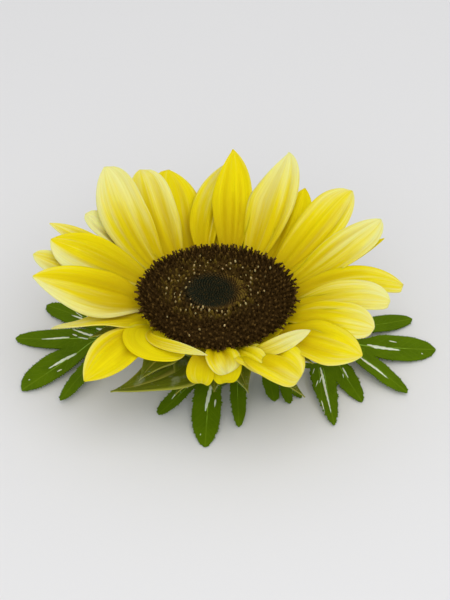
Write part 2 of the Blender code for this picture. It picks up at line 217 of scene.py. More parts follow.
# The disc's face and side: (radius, height) mm, from the middle of the eye out.
DISC_FACE = (
    (0.0, 43.2), (3.0, 43.25), (6.0, 43.4), (8.6, 43.8), (10.8, 44.6), (13.0, 45.6),
    (15.2, 46.3), (17.6, 46.7), (20.0, 46.8), (22.2, 46.6), (24.4, 46.2), (26.4, 45.6),
    (28.2, 44.8), (29.4, 43.6), (29.7, 42.2), (29.2, 40.8), (28.2, 39.8),
)
DISC_RADIUS = 29.7
DISC_UNDERSIDE = ((26.6, 39.2), (23.6, 38.6), (23.6, 35.5))
DISC_BACK_SHARE = 0.9  # depth of the disc's back half, as a share of its radius
BED_MIDDLE = 0.6  # radius of the flat spot in the middle of the bed under the florets
BED_SHOULDER = 27.0  # radius from which the bed lies inside the face, not under it
BED_DEPTH, BED_SIDE_DEPTH, BED_SIDE_DROP = 1.5, 1.7, 0.6
EYE_RADIUS = 9.8
# How far left of the middle the eye's dark patch lies, mm: painted shade in the eye's hollow.
EYE_SHADOW_SHIFT = 2.6
EYE_OVERLAP = 1.04  # how far the eye's buds run in among the florets, by area
STEEP_STEP = 0.3  # a step of the face narrower than this is a wall
HALF_OPEN_RADIUS = 18.5  # some of the florets inside this are half open
FLORET_LEAN, CHAFF_LEAN = 17, 24  # degrees at most
CHAFF_STEP = 0.9  # from a floret to the scale beside it
LOBE_STEP, LOBE_START = 72, 18  # degrees from lobe to lobe of a floret, and to its first one
DROP_SIZE, DROP_STRETCH = 0.42, (0.8, 0.8, 1.55)
DROP_RADIUS = 11.0  # pollen drops lie outside this
DROP_RING = (13.5, 6.0)  # radius where most of them lie, and how far they spread from it
# Shares of the face's area from which florets grow larger, splay outward and sit deeper.
LARGE_FROM, SPLAY_FROM, RIM_FROM = 0.7, 0.8, 0.86
# How deep under the face each kind stands, mm.
FLORET_DEPTH, RIM_FLORET_DEPTH, CHAFF_DEPTH, EYE_BUD_DEPTH = 1.9, 3.5, 1.5, 0.75
# Florets, scales and buds: (radius, height) mm from the bottom up, and sides.
FLORET_TUBE = ((0.38, 0.0), (0.418, 0.9), (0.4598, 1.25)), 10
HALF_OPEN = ((0.36, 0.0), (0.5, 0.55), (0.55, 1.15), (0.36, 1.55), (0.1, 1.83)), 6
CHAFF = ((0.2, 0.0), (0.16, 0.9), (0.02, 1.8)), 3
EYE_BUD = ((0.34, 0.0), (0.42, 0.4), (0.3, 0.68), (0.1, 0.82)), 5

# The stem's stub, from its top down: (radius, height) mm.
STEM_PROFILE = (
    (5.4, 21.9), (5.9, 21.4), (5.95, 20.0), (5.8, 16.0), (5.8, 12.0),
    (5.9, 8.0), (6.1, 4.0), (6.3, 0.9), (6.2, 0.3), (5.9, 0.0),
)
STEM_SIDES = 64
STEM_SKIN = 5.7  # radius that its hairs grow from
STEM_HAIR_SPAN = (1.4, 21.0)  # lowest and highest hair

# ---------------------------------------------------------------- leaves


@dataclass
class Finger:
    """One finger of a leaf. Places and lengths in mm, the rest shares of 1."""

    root: tuple
    tip: tuple
    width: float
    teeth: float = 0.6  # depth of its teeth
    waist: float = 0.46  # width at its root
    widest: float = 0.62  # where along it is widest
    blunt: float = 0.0  # how full its tip is
    left: float = 1.0  # width of its left half
    right: float = 1.0


# Leaves: end of the stalk (x, y) mm, fall from the stem to the tips mm, and the fingers.
LEAVES = {
    "leaf_left": (
        (-45, 17),
        11.5,
        (
            Finger((-43, 25.5), (-69, 40.5), 10.4, 0.7, waist=0.8, widest=0.4, blunt=0.3),
            Finger((-44, 17), (-80, 20.9), 12.0, waist=0.8, widest=0.3, blunt=0.3, left=0.88),
            Finger((-46, 18), (-75.2, -9), 14.0, 0.7, waist=0.4, widest=0.55, blunt=-0.05, left=0.72,
                   right=1.1),
            Finger((-44.5, 10.5), (-60, -15.7), 7.2, waist=0.55, widest=0.4, blunt=0.2, left=0.95,
                   right=0.82),
        ),
    ),
    "leaf_right": (
        (49, 13),
        14.0,
        (
            Finger((47, 21.5), (78, 32.2), 9.8, waist=0.8, widest=0.5, blunt=0.3, right=0.84),
            Finger((49, 13), (86, 14.3), 15.0, waist=0.3, widest=0.56, blunt=0.1, right=0.92),
            Finger((51, 12.5), (73, -11), 8.8, 0.6, waist=0.8, widest=0.4, left=0.96, right=0.9),
        ),
    ),
    "leaf_right_front": (
        (41, 3),
        9.5,
        (
            Finger((39.2, 3), (40.4, -18.5), 6.0, 0.6, waist=0.9, widest=0.3, blunt=-0.5),
            Finger((41, 3), (44.2, -27.8), 9.6, 0.65, waist=0.95, widest=0.15, blunt=-0.35, left=0.8,
                   right=1.05),
            Finger((47, 5), (55.4, -15), 8.8, 0.65, waist=0.9, widest=0.25, blunt=-0.2, left=0.92),
        ),
    ),
    "leaf_front": (
        (-2, -11),
        8.5,
        (
            Finger((-7, -8), (-22.3, -22.8), 7.4, 0.65, waist=0.8, widest=0.5, blunt=0.2, left=0.62),
            Finger((-2.9, -9), (-4.5, -39), 11.0, 0.7, waist=0.85, widest=0.45, blunt=-0.2, left=0.88),
            Finger((7.6, -9), (8.2, -29.5), 6.2, waist=0.95, widest=0.2, blunt=0.1, right=0.8),
        ),
    ),
    "leaf_front_small": (
        (19, -5),
        12.5,
        (
            Finger((19.4, -3), (21.8, -16.3), 5.4, 0.6, waist=0.9, widest=0.4, blunt=0.1),
            Finger((24.8, -3), (27.6, -16.2), 3.6, 0.6, waist=0.9, widest=0.5, blunt=0.3),
            Finger((22, -3), (32.5, -12.6), 3.6, 0.6, waist=0.9, widest=0.4, blunt=-0.3),
        ),
    ),
    "leaf_back_left": (
        (-22, 40),
        8.5,
        (Finger((-22, 40), (-24, 66), 9.5), Finger((-22, 40), (-44, 58), 9.5),
         Finger((-22, 39), (-48, 42), 8.5)),
    ),
    "leaf_back_right": (
        (26, 40),
        8.5,
        (Finger((26, 39), (52, 42), 8.5), Finger((26, 40), (50, 58), 9.5), Finger((26, 40), (28, 68), 9.5)),
    ),
}
# Pale ribs that stand out on a leaf: start (x, y) mm, end (x, y) mm and width mm.
PALE_RIBS = {
    "leaf_left": (
        (-53.7, 30.3, -59.2, 34.0, 1.3), (-54.0, 31.6, -57.7, 36.3, 0.6),
        (-51.8, 31.3, -53.2, 34.2, 0.6), (-49.7, 29.0, -51.2, 32.4, 0.7),
        (-58.5, 19.2, -71.5, 19.7, 1.4), (-51.0, 17.4, -55.8, 19.4, 1.1),
        (-55.4, 19.8, -57.6, 21.3, 1.0), (-48.6, 18.9, -58.8, 25.0, 1.7),
        (-47.2, 18.6, -51.6, 21.5, 1.0), (-45.2, 21.9, -48.5, 24.2, 1.7),
        (-55.0, 9.7, -67.4, 0.8, 2.2), (-60.3, 0.8, -62.5, -0.4, 0.8),
        (-72.5, -3.3, -73.0, -3.9, 0.7),
    ),
    "leaf_right": (
        (58.8, 14.0, 73.9, 12.3, 2.6), (67.8, 17.7, 71.0, 17.0, 0.8),
        (55.6, 6.3, 67.6, -6.2, 1.5), (80.1, 11.7, 80.8, 11.2, 0.7),
    ),
    "leaf_right_front": (
        (40.0, 1.8, 43.8, -25.5, 1.3), (40.3, -3.0, 39.2, -7.6, 0.6),
        (38.9, -5.4, 37.7, -9.6, 0.6), (37.7, 1.2, 36.7, -3.4, 0.5),
        (39.8, -16.0, 40.9, -22.2, 0.6), (48.8, 3.0, 51.1, -3.4, 1.0),
        (48.7, -0.4, 49.0, -3.3, 0.6),
    ),
    "leaf_front": (
        (-2.3, -12.5, -5.0, -25.4, 2.1), (-0.6, -18.4, -0.95, -21.8, 0.9),
        (-15.3, -13.7, -17.8, -17.0, 0.8), (-6.2, -33.0, -6.3, -34.0, 0.6),
    ),
    "leaf_front_small": (),
    "leaf_back_left": ((-22.5, 46, -23.6, 60, 1.0), (-26, 43.5, -38, 53, 0.9), (-28, 40, -42, 41.5, 0.8)),
    "leaf_back_right": ((32, 40.4, 46, 41.6, 0.8), (30, 43.5, 44, 54, 0.9), (26.3, 46, 27.6, 62, 1.0)),
}
LEAF_STALK_START = 6.3 * MM
LEAF_STALK_WIDTH = 2.8 * MM
LEAF_TIP_HEIGHT = 0.6 * MM
LEAF_TOP = 0.35 * MM
LEAF_CUT_STEP = 2.4 * MM
LEAF_SWELL = 0.3 * MM
SWELL_ROOM = 2.5 * MM  # height over the tips at which the swells are full
TOOTH_LENGTH = 1.0  # mm
RIB_ROWS = 22
RIB_COLUMNS = 4
RIB_WALL = 0.12 * MM
RIB_SUNK = 0.06  # mm

# ---------------------------------------------------------------- stage

FLOOR_SIZE = 6.0
# Soft round lights: place, width, power W and tint.
LIGHTS = {
    "key light": ((0.3, -0.35, 1.05), 1.4, 5.4, (1.0, 0.995, 0.98)),
    "fill light": ((-0.2, -0.95, 0.8), 1.1, 2.8, (0.98, 0.99, 1.0)),
}
LIGHT_AIM = (0.0, 0.0, 0.03)
SURROUND_STRENGTH = 0.7
VIEW_MIDDLE = (0.003, 0.0, 0.041)
VIEW_DROP = 1.125 * MM  # how far below the view's middle the camera aims
VIEW_HEIGHT = 0.225  # of the view at the flower

# ---------------------------------------------------------------- settings


def length(name, description, default):
    return bpy.props.FloatProperty(
        name=name, description=description, default=default, min=0.0, unit="LENGTH"
    )


def share(name, description, default):
    return bpy.props.FloatProperty(
        name=name, description=description, default=default, min=0.0, max=1.0, subtype="FACTOR"
    )


def count(name, description, default):
    return bpy.props.IntProperty(name=name, description=description, default=default, min=1)


def colour(name, description, default):
    return bpy.props.FloatVectorProperty(
        name=name, description=description, default=default, min=0.0, max=1.0, size=3, subtype="COLOR"
    )


class PetalSettings(bpy.types.PropertyGroup):
    thickness: length("Thickness", "Thickness of a ray petal", 0.34 * MM)
    ridge: share("Ridge", "Depth of the long ridges as a share of a petal's half width", 0.075)
    cup: share("Cup", "How far a petal's edges rise, as a share of its half width", 0.16)
    wave: share("Wave", "How far a petal's edge waves, as a share of its half width", 0.08)
    yellow: colour("Yellow", "Main colour of a petal", (0.785, 0.655, 0.002))
    # Gold: the petal's own colour at the root, also used as painted shade at the root and in the grooves.
    gold: colour("Gold", "Colour near a petal's root", (0.465, 0.325, 0.0004))
    # Lemon also paints a highlight along one edge of some petals.
    lemon: colour("Lemon", "Colour of a petal's pale tip", (0.78, 0.765, 0.32))


class DiscSettings(bpy.types.PropertyGroup):
    open_florets: count("Open florets", "Florets out from the eye", 780)
    eye_buds: count("Eye buds", "Closed buds in the eye", 480)
    pollen_share: share("Pollen share", "Share of the florets round the eye that hold a pale drop", 0.42)
    brown: colour("Brown", "Colour of the open florets", (0.028, 0.0135, 0.0018))
    # The florets' tips: their own lighter colour with a painted highlight, and random flecks.
    tip_and_highlight_brown: colour("Tip brown", "Colour of the florets' tips", (0.125, 0.070, 0.016))
    # Olive gold: the half-open florets' own colour, also painted light on the eye's right inner wall.
    olive: colour("Olive gold", "Colour of the half-open florets round the eye", (0.150, 0.098, 0.012))
    eye: colour("Eye", "Colour of the closed buds in the eye", (0.012, 0.016, 0.008))
    pollen: colour("Pollen", "Colour of the pale drops", (0.54, 0.42, 0.18))


class CalyxSettings(bpy.types.PropertyGroup):
    thickness: length("Thickness", "Thickness of a bract", 0.5 * MM)
    green: colour("Green", "Colour of the bracts", (0.165, 0.205, 0.008))
    rib_green: colour("Rib green", "Colour of a bract's middle rib and edges", (0.42, 0.40, 0.060))
    down: colour("Down", "Colour of the fine hairs", (0.55, 0.60, 0.42))
    hair_length: length("Hair length", "Length of a hair", 1.1 * MM)
    hairs: count("Hairs", "Hairs on each bract", 110)


class LeafSettings(bpy.types.PropertyGroup):
    thickness: length("Thickness", "Thickness of a leaf", 0.5 * MM)
    green: colour("Green", "Colour of a leaf", (0.096, 0.172, 0.0005))
    rib: colour("Rib", "Colour of the pale ribs", (0.80, 0.83, 0.68))


class StemSettings(bpy.types.PropertyGroup):
    green: colour("Green", "Colour of the stem's skin", (0.20, 0.27, 0.06))
    pith: colour("Pith", "Colour of the pith at the cut", (0.74, 0.75, 0.58))
    hairs: count("Hairs", "Hairs on the stem", 420)


class StageSettings(bpy.types.PropertyGroup):
    floor: colour("Floor", "Colour of the floor", (0.74, 0.74, 0.75))
    distance: length("Distance", "Distance from the camera to the flower", 0.75)
    elevation: bpy.props.FloatProperty(
        name="Elevation",
        description="Camera's height above the horizon",
        default=math.radians(41.5),
        subtype="ANGLE",
    )


GROUPS = {
    "sunflower_petals": PetalSettings,
    "sunflower_disc": DiscSettings,
    "sunflower_calyx": CalyxSettings,
    "sunflower_leaves": LeafSettings,
    "sunflower_stem": StemSettings,
    "sunflower_stage": StageSettings,
}

# ---------------------------------------------------------------- modelling helpers


def start_fresh():
    """Object mode, with nothing selected, so that the next operator acts on its own piece alone."""
    if bpy.context.object and bpy.context.object.mode != "OBJECT":
        bpy.ops.object.mode_set(mode="OBJECT")
    bpy.ops.object.select_all(action="DESELECT")


def choose(*pieces):
    """Selects these pieces, the first one active."""
    start_fresh()
    for piece in pieces:
        piece.select_set(True)
    bpy.context.view_layer.objects.active = pieces[0]


@contextmanager
def editing(piece):
    """Edit mode on one piece, with all of it selected, and back to object mode."""
    choose(piece)
    bpy.ops.object.mode_set(mode="EDIT")
    bpy.ops.mesh.select_all(action="SELECT")
    yield
    bpy.ops.object.mode_set(mode="OBJECT")


def named(name):
    """The piece that the last operator made, under its own name, with its place in its mesh."""
    piece = bpy.context.object
    piece.name = name
    piece.data.name = name
    bpy.ops.object.transform_apply(location=True, rotation=True, scale=True)
    return piece


def primitive(name, add, **sizes):
    """A new primitive, the only piece selected."""
    start_fresh()
    add(**sizes)
    return named(name)


def placed(name, data):
    """A new object at the origin, out of a mesh, a curve, a light or a camera."""
    made = bpy.data.objects.new(name, data)
    bpy.context.scene.collection.objects.link(made)
    return made


def joined(name, pieces):
    choose(*pieces)
    if len(pieces) > 1:
        bpy.ops.object.join()
    return named(name)


def thickened(piece, thickness, offset=0.0):
    choose(piece)
    wall = piece.modifiers.new("Wall", "SOLIDIFY")
    wall.thickness = thickness
    wall.offset = offset
    bpy.ops.object.modifier_apply(modifier="Wall")


def faces_out(piece, angle=None):
    """Doubles merged, faces out, and smooth shading, split at edges sharper than an angle if it is given."""
    with editing(piece):
        bpy.ops.mesh.remove_doubles(threshold=MERGE)
        bpy.ops.mesh.normals_make_consistent(inside=False)
    if angle is None:
        bpy.ops.object.shade_smooth()
    else:
        bpy.ops.object.shade_smooth_by_angle(angle=math.radians(angle))


def turned(name, profile, sides=ROUND_SIDES):
    """A closed round body: one disc extruded and scaled through each (radius, height) mm of a profile."""
    radius, height = profile[0]
    disc = bpy.ops.mesh.primitive_circle_add
    piece = primitive(
        name, disc, vertices=sides, radius=radius * MM, fill_type="NGON", location=UP * height * MM
    )
    with editing(piece):
        for next_radius, next_height in profile[1:]:
            rise = (0.0, 0.0, (next_height - height) * MM)
            scale = next_radius / radius
            bpy.ops.mesh.extrude_region_move(TRANSFORM_OT_translate={"value": rise})
            bpy.ops.transform.resize(
                value=(scale, scale, 1.0), center_override=(0.0, 0.0, next_height * MM)
            )
            radius, height = next_radius, next_height
    return piece


def cone(name, sides, bottom, top, depth, place, turn=0.0):
    """A small cone, its sizes and the place of its middle in mm, turned about Y."""
    return primitive(
        name,
        bpy.ops.mesh.primitive_cone_add,
        vertices=sides,
        radius1=bottom * MM,
        radius2=top * MM,
        depth=depth * MM,
        location=Vector(place) * MM,
        rotation=(0.0, turn, 0.0),
    )


def write_numbers(piece, **numbers):
    """Keeps numbers on a piece's points: one for each point, or one for them all."""
    for label, values in numbers.items():
        if not isinstance(values, list):
            values = [values] * len(piece.data.vertices)
        layer = piece.data.attributes.new(label, "FLOAT", "POINT")
        layer.data.foreach_set("value", np.array(values, np.float32))


def write_uv(piece, uv_of):
    """The piece's UV map, out of what uv_of says for the place of each point."""
    mesh = piece.data
    layer = mesh.uv_layers[0] if mesh.uv_layers else mesh.uv_layers.new(name="UVMap")
    for loop in mesh.loops:
        layer.data[loop.index].uv = uv_of(mesh.vertices[loop.vertex_index].co)


def joined_copies(name, master, places):
    """One piece out of many copies of a modelled master, each with its own points.

    Each place is a matrix, a tone and a zone. "tone" and "zone" are kept on the points with "rise",
    which is 0 at the master's lowest point and 1 at its highest.
    """
    points = np.array([(*vertex.co, 1.0) for vertex in master.data.vertices])
    low, high = points[:, 2].min(), points[:, 2].max()
    rise = (points[:, 2] - low) / (high - low)
    faces = [tuple(face.vertices) for face in master.data.polygons]
    all_points, all_faces, tones, zones = [], [], [], []
    for matrix, tone, zone in places:
        base = len(all_points) * len(points)
        all_points.append((points @ np.array(matrix).T)[:, :3])
        all_faces.extend([tuple(base + index for index in face) for face in faces])
        tones.extend([tone] * len(points))
        zones.extend([zone] * len(points))
    mesh = bpy.data.meshes.new(name)
    mesh.from_pydata(np.concatenate(all_points).tolist(), [], all_faces)
    piece = placed(name, mesh)
    write_numbers(piece, tone=tones, zone=zones, rise=list(rise) * len(places))
    bpy.data.objects.remove(master)
    return piece


def ray_at(angle):
    """The level direction at an angle about the axis."""
    return Vector((math.cos(angle), math.sin(angle), 0.0))


def stand_on(point, normal, turn, size=1.0, lean=(0.0, 0.0)):
    """A matrix that stands a master on a point, its own +Z along the normal, turned and leaned."""
    upright = Vector(normal).normalized().to_track_quat("Z", "Y").to_matrix().to_4x4()
    tilt = Matrix.Rotation(lean[0], 4, "X") @ Matrix.Rotation(lean[1], 4, "Y")
    spun = Matrix.Rotation(turn, 4, "Z") @ Matrix.Scale(size, 4)
    return Matrix.Translation(point) @ upright @ tilt @ spun


def random_lean(draw, degrees):
    return math.radians(draw.uniform(-degrees, degrees)), math.radians(draw.uniform(-degrees, degrees))


def finish_piece(piece, finish, node):
    """The piece gets its finish, rides with the flower and stands for its solid."""
    piece.data.materials.clear()
    piece.data.materials.append(finish.material)
    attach(piece, BODY)
    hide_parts(node)


# ---------------------------------------------------------------- finishes


def shaded(tint, part):
    return [value * part for value in tint]


class Finish:
    """A material in the making, with short ways to add its nodes."""

    def __init__(self, name, roughness, shine):
        self.material = bpy.data.materials.new(name)
        self.material.use_nodes = True
        self.tree = self.material.node_tree
        self.shader = self.tree.nodes["Principled BSDF"]
        self.shader.inputs["Roughness"].default_value = roughness
        self.shader.inputs["Specular IOR Level"].default_value = shine

    def glow(self, weight, depth_mm, tint=(1.0, 0.2, 0.1)):
        """Light that goes in and comes out again, to a depth for each of red, green and blue."""
        self.shader.inputs["Subsurface Weight"].default_value = weight
        self.shader.inputs["Subsurface Scale"].default_value = depth_mm * MM
        self.shader.inputs["Subsurface Radius"].default_value = tint

    def feed(self, value, socket):
        if isinstance(value, bpy.types.NodeSocket):
            self.tree.links.new(value, socket)
        else:
            socket.default_value = value

    def paint(self, tint, socket):
        self.feed(tint if isinstance(tint, bpy.types.NodeSocket) else (*tint, 1.0), socket)

    def node(self, kind, inputs=None, **settings):
        made = self.tree.nodes.new(kind)
        for key, value in settings.items():
            setattr(made, key, value)
        for key, value in (inputs or {}).items():
            self.feed(value, made.inputs[key])
        return made

    def place(self):
        """Object coordinates in millimetres."""
        found = self.node("ShaderNodeTexCoord").outputs["Object"]
        inputs = {"Vector": found, "Scale": (1.0 / MM,) * 3}
        return self.node("ShaderNodeMapping", inputs).outputs["Vector"]

    def number(self, label):
        return self.node("ShaderNodeAttribute", attribute_name=label).outputs["Fac"]

    def parts(self, vector):
        return self.node("ShaderNodeSeparateXYZ", {"Vector": vector}).outputs

    def along(self):
        """The piece's own UV map as two numbers, across it and along it."""
        return self.parts(self.node("ShaderNodeUVMap").outputs["UV"])[:2]

    def math(self, operation, a, b=0.0, c=0.0, clamp=False):
        made = self.node("ShaderNodeMath", operation=operation, use_clamp=clamp)
        for value, socket in zip((a, b, c), made.inputs):
            self.feed(value, socket)
        return made.outputs["Value"]

    def times(self, a, b, clamp=False):
        return self.math("MULTIPLY", a, b, clamp=clamp)

    def plus(self, a, b):
        return self.math("ADD", a, b)

    def off(self, value, middle):
        """How far a value is from a middle one."""
        return self.math("ABSOLUTE", self.math("SUBTRACT", value, middle))

    def ramp(self, value, low, high):
        """0 at or below low, 1 at or above high, eased between."""
        inputs = {"Value": value, "From Min": low, "From Max": high}
        return self.node(
            "ShaderNodeMapRange", inputs, interpolation_type="SMOOTHSTEP"
        ).outputs["Result"]

    def noise(self, vector, scale, detail=3.0):
        inputs = {"Vector": vector, "Scale": scale, "Detail": detail, "Roughness": 0.55}
        return self.node("ShaderNodeTexNoise", inputs).outputs["Fac"]

    def streaks(self, across, along, own=0.0, detail=3.0):
        """Noise drawn out along a blade, with another pattern for each own number."""
        inputs = {"X": self.times(*across), "Y": self.times(*along), "Z": own}
        return self.noise(self.node("ShaderNodeCombineXYZ", inputs).outputs["Vector"], 1.0, detail)

    def mix(self, part, first, second):
        """The first colour with this part of the second."""
        made = self.node("ShaderNodeMix", {"Factor": part}, data_type="RGBA")
        self.paint(first, made.inputs[6])
        self.paint(second, made.inputs[7])
        return made.outputs[2]

    def colour(self, tint):
        self.paint(tint, self.shader.inputs["Base Color"])

    def bump(self, height, distance_mm, strength):
        inputs = {"Strength": strength, "Distance": distance_mm * MM, "Height": height}
        self.feed(self.node("ShaderNodeBump", inputs).outputs["Normal"], self.shader.inputs["Normal"])


def petal_finish(settings):
    """Yellow with deeper gold at the root, partly its own colour and partly painted shade, painted shade of
    gold in the grooves, lemon at the tip and a painted highlight of lemon along one edge, with fine long
    veins.
    """
    made = Finish("ray petal", roughness=0.6, shine=0.05)
    made.glow(0.4, 1.2, (1.0, 0.75, 0.1))
    across, along = made.along()
    own = made.number("own")
    streaks = made.streaks((across, 9.0), (along, 1.2), own)
    fine = made.streaks((across, 46.0), (along, 2.2), own, detail=2.0)
    # Deeper gold towards the root: partly the petal's own colour, partly painted shade near the disc.
    root_gold_and_shade = made.times(made.ramp(along, 0.75, 0.05), made.number("gold"))
    base = made.mix(root_gold_and_shade, settings.yellow, settings.gold)
    # Lemon at the tip and edges, and a painted highlight along one side, from the "pale" numbers.
    tipped = made.plus(made.number("pale"), made.times(made.math("SUBTRACT", streaks, 0.5), 1.1))
    base = made.mix(made.ramp(tipped, 0.12, 0.92), base, settings.lemon)
    # Painted shade: deeper gold along the grooves.
    base = made.mix(made.times(made.number("groove"), 0.85, clamp=True), base, settings.gold)
    shade = made.times(made.ramp(fine, 0.36, 0.62), 0.16)
    made.colour(made.mix(shade, base, settings.gold))
    made.bump(made.plus(made.times(fine, 0.6), made.times(streaks, 0.8)), 0.22, 0.55)
    return made


def floret_finish(settings):
    """Brown florets with lighter tips, partly their own colour and partly painted highlight, olive gold in a
    ring round the dark eye, and the eye's dark patch shifted left as painted shade.
    """
    made = Finish("floret", roughness=0.75, shine=0.05)
    tone, zone, rise = (made.number(label) for label in ("tone", "zone", "rise"))
    # Lighter towards each floret's top, darker at its foot: partly the florets' own lighter tips, partly
    # painted highlight on their tops and painted shade in the gaps between them.
    tip = made.times(made.ramp(rise, 0.45, 1.0), made.math("MULTIPLY_ADD", tone, 0.9, 0.1))
    base = made.mix(tip, settings.brown, settings.tip_and_highlight_brown)
    # Olive ring: partly the half-open florets' own colour; shifted with the eye's dark patch, it paints light
    # on the eye's right inner wall.
    ring = made.times(made.ramp(zone, 0.30, 0.44), made.ramp(zone, 0.68, 0.52))
    base = made.mix(made.times(ring, made.ramp(tone, 0.25, 0.95)), base, settings.olive)
    # The eye's dark buds, their dark patch shifted left of the middle as painted shade in the hollow.
    base = made.mix(made.ramp(zone, 0.40, 0.24), base, settings.eye)
    grain = made.noise(made.place(), 1.6)
    made.colour(made.mix(made.times(made.ramp(grain, 0.45, 0.75), 0.5), base, settings.tip_and_highlight_brown))
    made.bump(grain, 0.2, 0.5)
    return made


def pollen_finish(settings):
    made = Finish("pollen", roughness=0.55, shine=0.3)
    made.glow(0.2, 0.4)
    made.colour(made.mix(made.times(made.number("tone"), 0.8), settings.pollen, settings.olive))
    made.bump(made.noise(made.place(), 4.0, 2.0), 0.1, 0.5)
    return made


def bract_finish(settings):
    """Olive green with a paler middle rib, fine length-wise veins and a downy bloom."""
    made = Finish("bract", roughness=0.65, shine=0.12)
    made.glow(0.15, 0.8, (0.5, 0.9, 0.1))
    across, along = made.along()
    off_middle = made.off(across, 0.5)
    rib = made.ramp(off_middle, 0.07, 0.0)
    edge = made.times(made.ramp(off_middle, 0.42, 0.5), 0.6)
    veins = made.streaks((across, 26.0), (along, 3.0), made.number("own"))
    base = made.mix(made.ramp(veins, 0.3, 0.75), settings.green, shaded(settings.green, 0.62))
    base = made.mix(made.math("MAXIMUM", made.times(rib, 0.85), edge), base, settings.rib_green)
    patches = made.noise(made.place(), 0.16, 4.0)
    made.colour(made.mix(made.times(made.ramp(patches, 0.55, 0.72), 0.35), base, settings.down))
    made.bump(made.plus(veins, made.times(rib, 1.5)), 0.3, 0.6)
    return made


def hair_finish(settings):
    made = Finish("fine hair", roughness=0.5, shine=0.3)
    made.glow(0.4, 0.4)
    made.colour(made.mix(made.number("tone"), settings.down, shaded(settings.down, 0.6)))
    return made


def leaf_finish(settings):
    """Deep green with a net of slightly lighter veins running out from each finger's middle."""
    made = Finish("leaf", roughness=0.75, shine=0.04)
    across, along = made.along()
    off_middle = made.off(across, 0.5)
    slant = made.math("SUBTRACT", made.times(along, 11.0), made.times(off_middle, 5.0))
    side_veins = made.ramp(made.off(made.math("FRACT", slant), 0.5), 0.07, 0.0)
    middle = made.ramp(off_middle, 0.035, 0.0)
    cells = {"Vector": made.place(), "Scale": 0.9}
    net = made.node("ShaderNodeTexVoronoi", cells, feature="DISTANCE_TO_EDGE").outputs["Distance"]
    net_veins = made.ramp(net, 0.06, 0.0)
    red, green, blue = settings.green
    cloud = made.ramp(made.noise(made.place(), 0.12, 4.0), 0.3, 0.7)
    base = made.mix(cloud, settings.green, (red * 0.8, green * 0.82, blue))
    marked = made.math("MAXIMUM", made.times(side_veins, 0.45), made.times(middle, 0.7))
    marked = made.math("MAXIMUM", marked, made.times(net_veins, 0.2))
    made.colour(made.mix(marked, base, (red * 1.5 + 0.01, green * 1.35 + 0.01, blue + 0.008)))
    made.bump(made.plus(made.times(side_veins, -0.6), made.times(net_veins, -0.3)), 0.3, 0.5)
    return made


def rib_finish(settings):
    """Pale ribs with a little green in their grain, and green ones where "pale" is 0."""
    made = Finish("pale rib", roughness=0.55, shine=0.3)
    made.glow(0.15, 0.6)
    grain = made.noise(made.place(), 1.3)
    faint = made.times(made.ramp(grain, 0.4, 0.7), 0.15)
    green = [value * 2.4 + 0.02 for value in settings.green]
    made.colour(made.mix(made.math("SUBTRACT", made.number("pale"), faint), green, settings.rib))
    made.bump(grain, 0.1, 0.3)
    return made


def stem_finish(settings):
    """Pale green skin with fine long ridges. The cut end shows white pith in a green ring."""
    made = Finish("stem", roughness=0.55, shine=0.35)
    place = made.place()
    x, y, z = made.parts(place)
    fibres = made.streaks((made.math("ARCTAN2", y, x), 5.0), (z, 0.12))
    skin = made.mix(made.ramp(fibres, 0.35, 0.7), settings.green, shaded(settings.green, 0.6))
    radius = made.math("SQRT", made.plus(made.times(x, x), made.times(y, y)))
    cut = made.times(made.ramp(z, 0.12, 0.04), made.ramp(radius, 5.1, 4.5))
    grain = made.ramp(made.noise(place, 1.1), 0.4, 0.7)
    made.colour(made.mix(cut, skin, made.mix(grain, settings.pith, shaded(settings.pith, 0.75))))
    made.bump(fibres, 0.4, 0.7)
    return made


# ---------------------------------------------------------------- blades: petals and bracts


def tip_width(along, widest, power, fullness):
    """Half-width from the widest place, where it is 1, to the tip, where it is 0."""
    past = (along - widest) / (1.0 - widest)
    return max(0.0, 1.0 - past**power) ** fullness


def petal_outline(along, widest, blunt):
    """Half-width along a petal, as a share of its widest."""
    if along < widest:
        grown = math.sin(0.5 * math.pi * along / widest) ** 1.1
        return PETAL_ROOT_WIDTH + (1.0 - PETAL_ROOT_WIDTH) * grown
    return tip_width(along, widest, 2.1 + 1.6 * blunt, 0.8 - 0.3 * blunt)


def bract_outline(along):
    """Half-width along a bract: broad near its root, then drawn out to a long thin tip."""
    if along < BRACT_WIDEST:
        return 0.8 + 0.2 * math.sin(0.5 * math.pi * along / BRACT_WIDEST)
    return tip_width(along, BRACT_WIDEST, 1.2, 1.3)


def blade_frames(blade, rows):
    """Middle, side, normal and direction at each row of a blade, from its root to its tip."""
    radius, height, haste = BLADE_LAYERS[blade.layer]
    point = (ray_at(math.radians(blade.azimuth)) * radius + UP * (height + blade.lift)) * MM
    frames = []
    total = rows * STEPS_PER_ROW
    for i in range(total + 1):
        along = i / total
        heading = math.radians(blade.azimuth + blade.sweep * (1.0 - (1.0 - along) ** haste))
        climb = math.radians(blade.rise + blade.bend * along + blade.curl * along**4)
        turn = math.radians(blade.roll * (1.0 - (1.0 - along) ** 2))
        forward = ray_at(heading) * math.cos(climb) + UP * math.sin(climb)
        up = UP * math.cos(climb) - ray_at(heading) * math.sin(climb)
        left = up.cross(forward)
        if i % STEPS_PER_ROW == 0:
            side = left * math.cos(turn) + up * math.sin(turn)
            normal = up * math.cos(turn) - left * math.sin(turn)
            frames.append((point.copy(), side, normal, forward))
        point += forward * (blade.length * MM / total)
    return frames


def blade_grid(name, rows, columns):
    """A flat grid, 2 by 2, with its own UV map: u across the blade and v along it."""
    grid = bpy.ops.mesh.primitive_grid_add
    piece = primitive(name, grid, x_subdivisions=rows, y_subdivisions=columns, size=2.0)
    write_uv(piece, lambda place: (0.5 + 0.5 * place.y, 0.5 + 0.5 * place.x))
    return piece


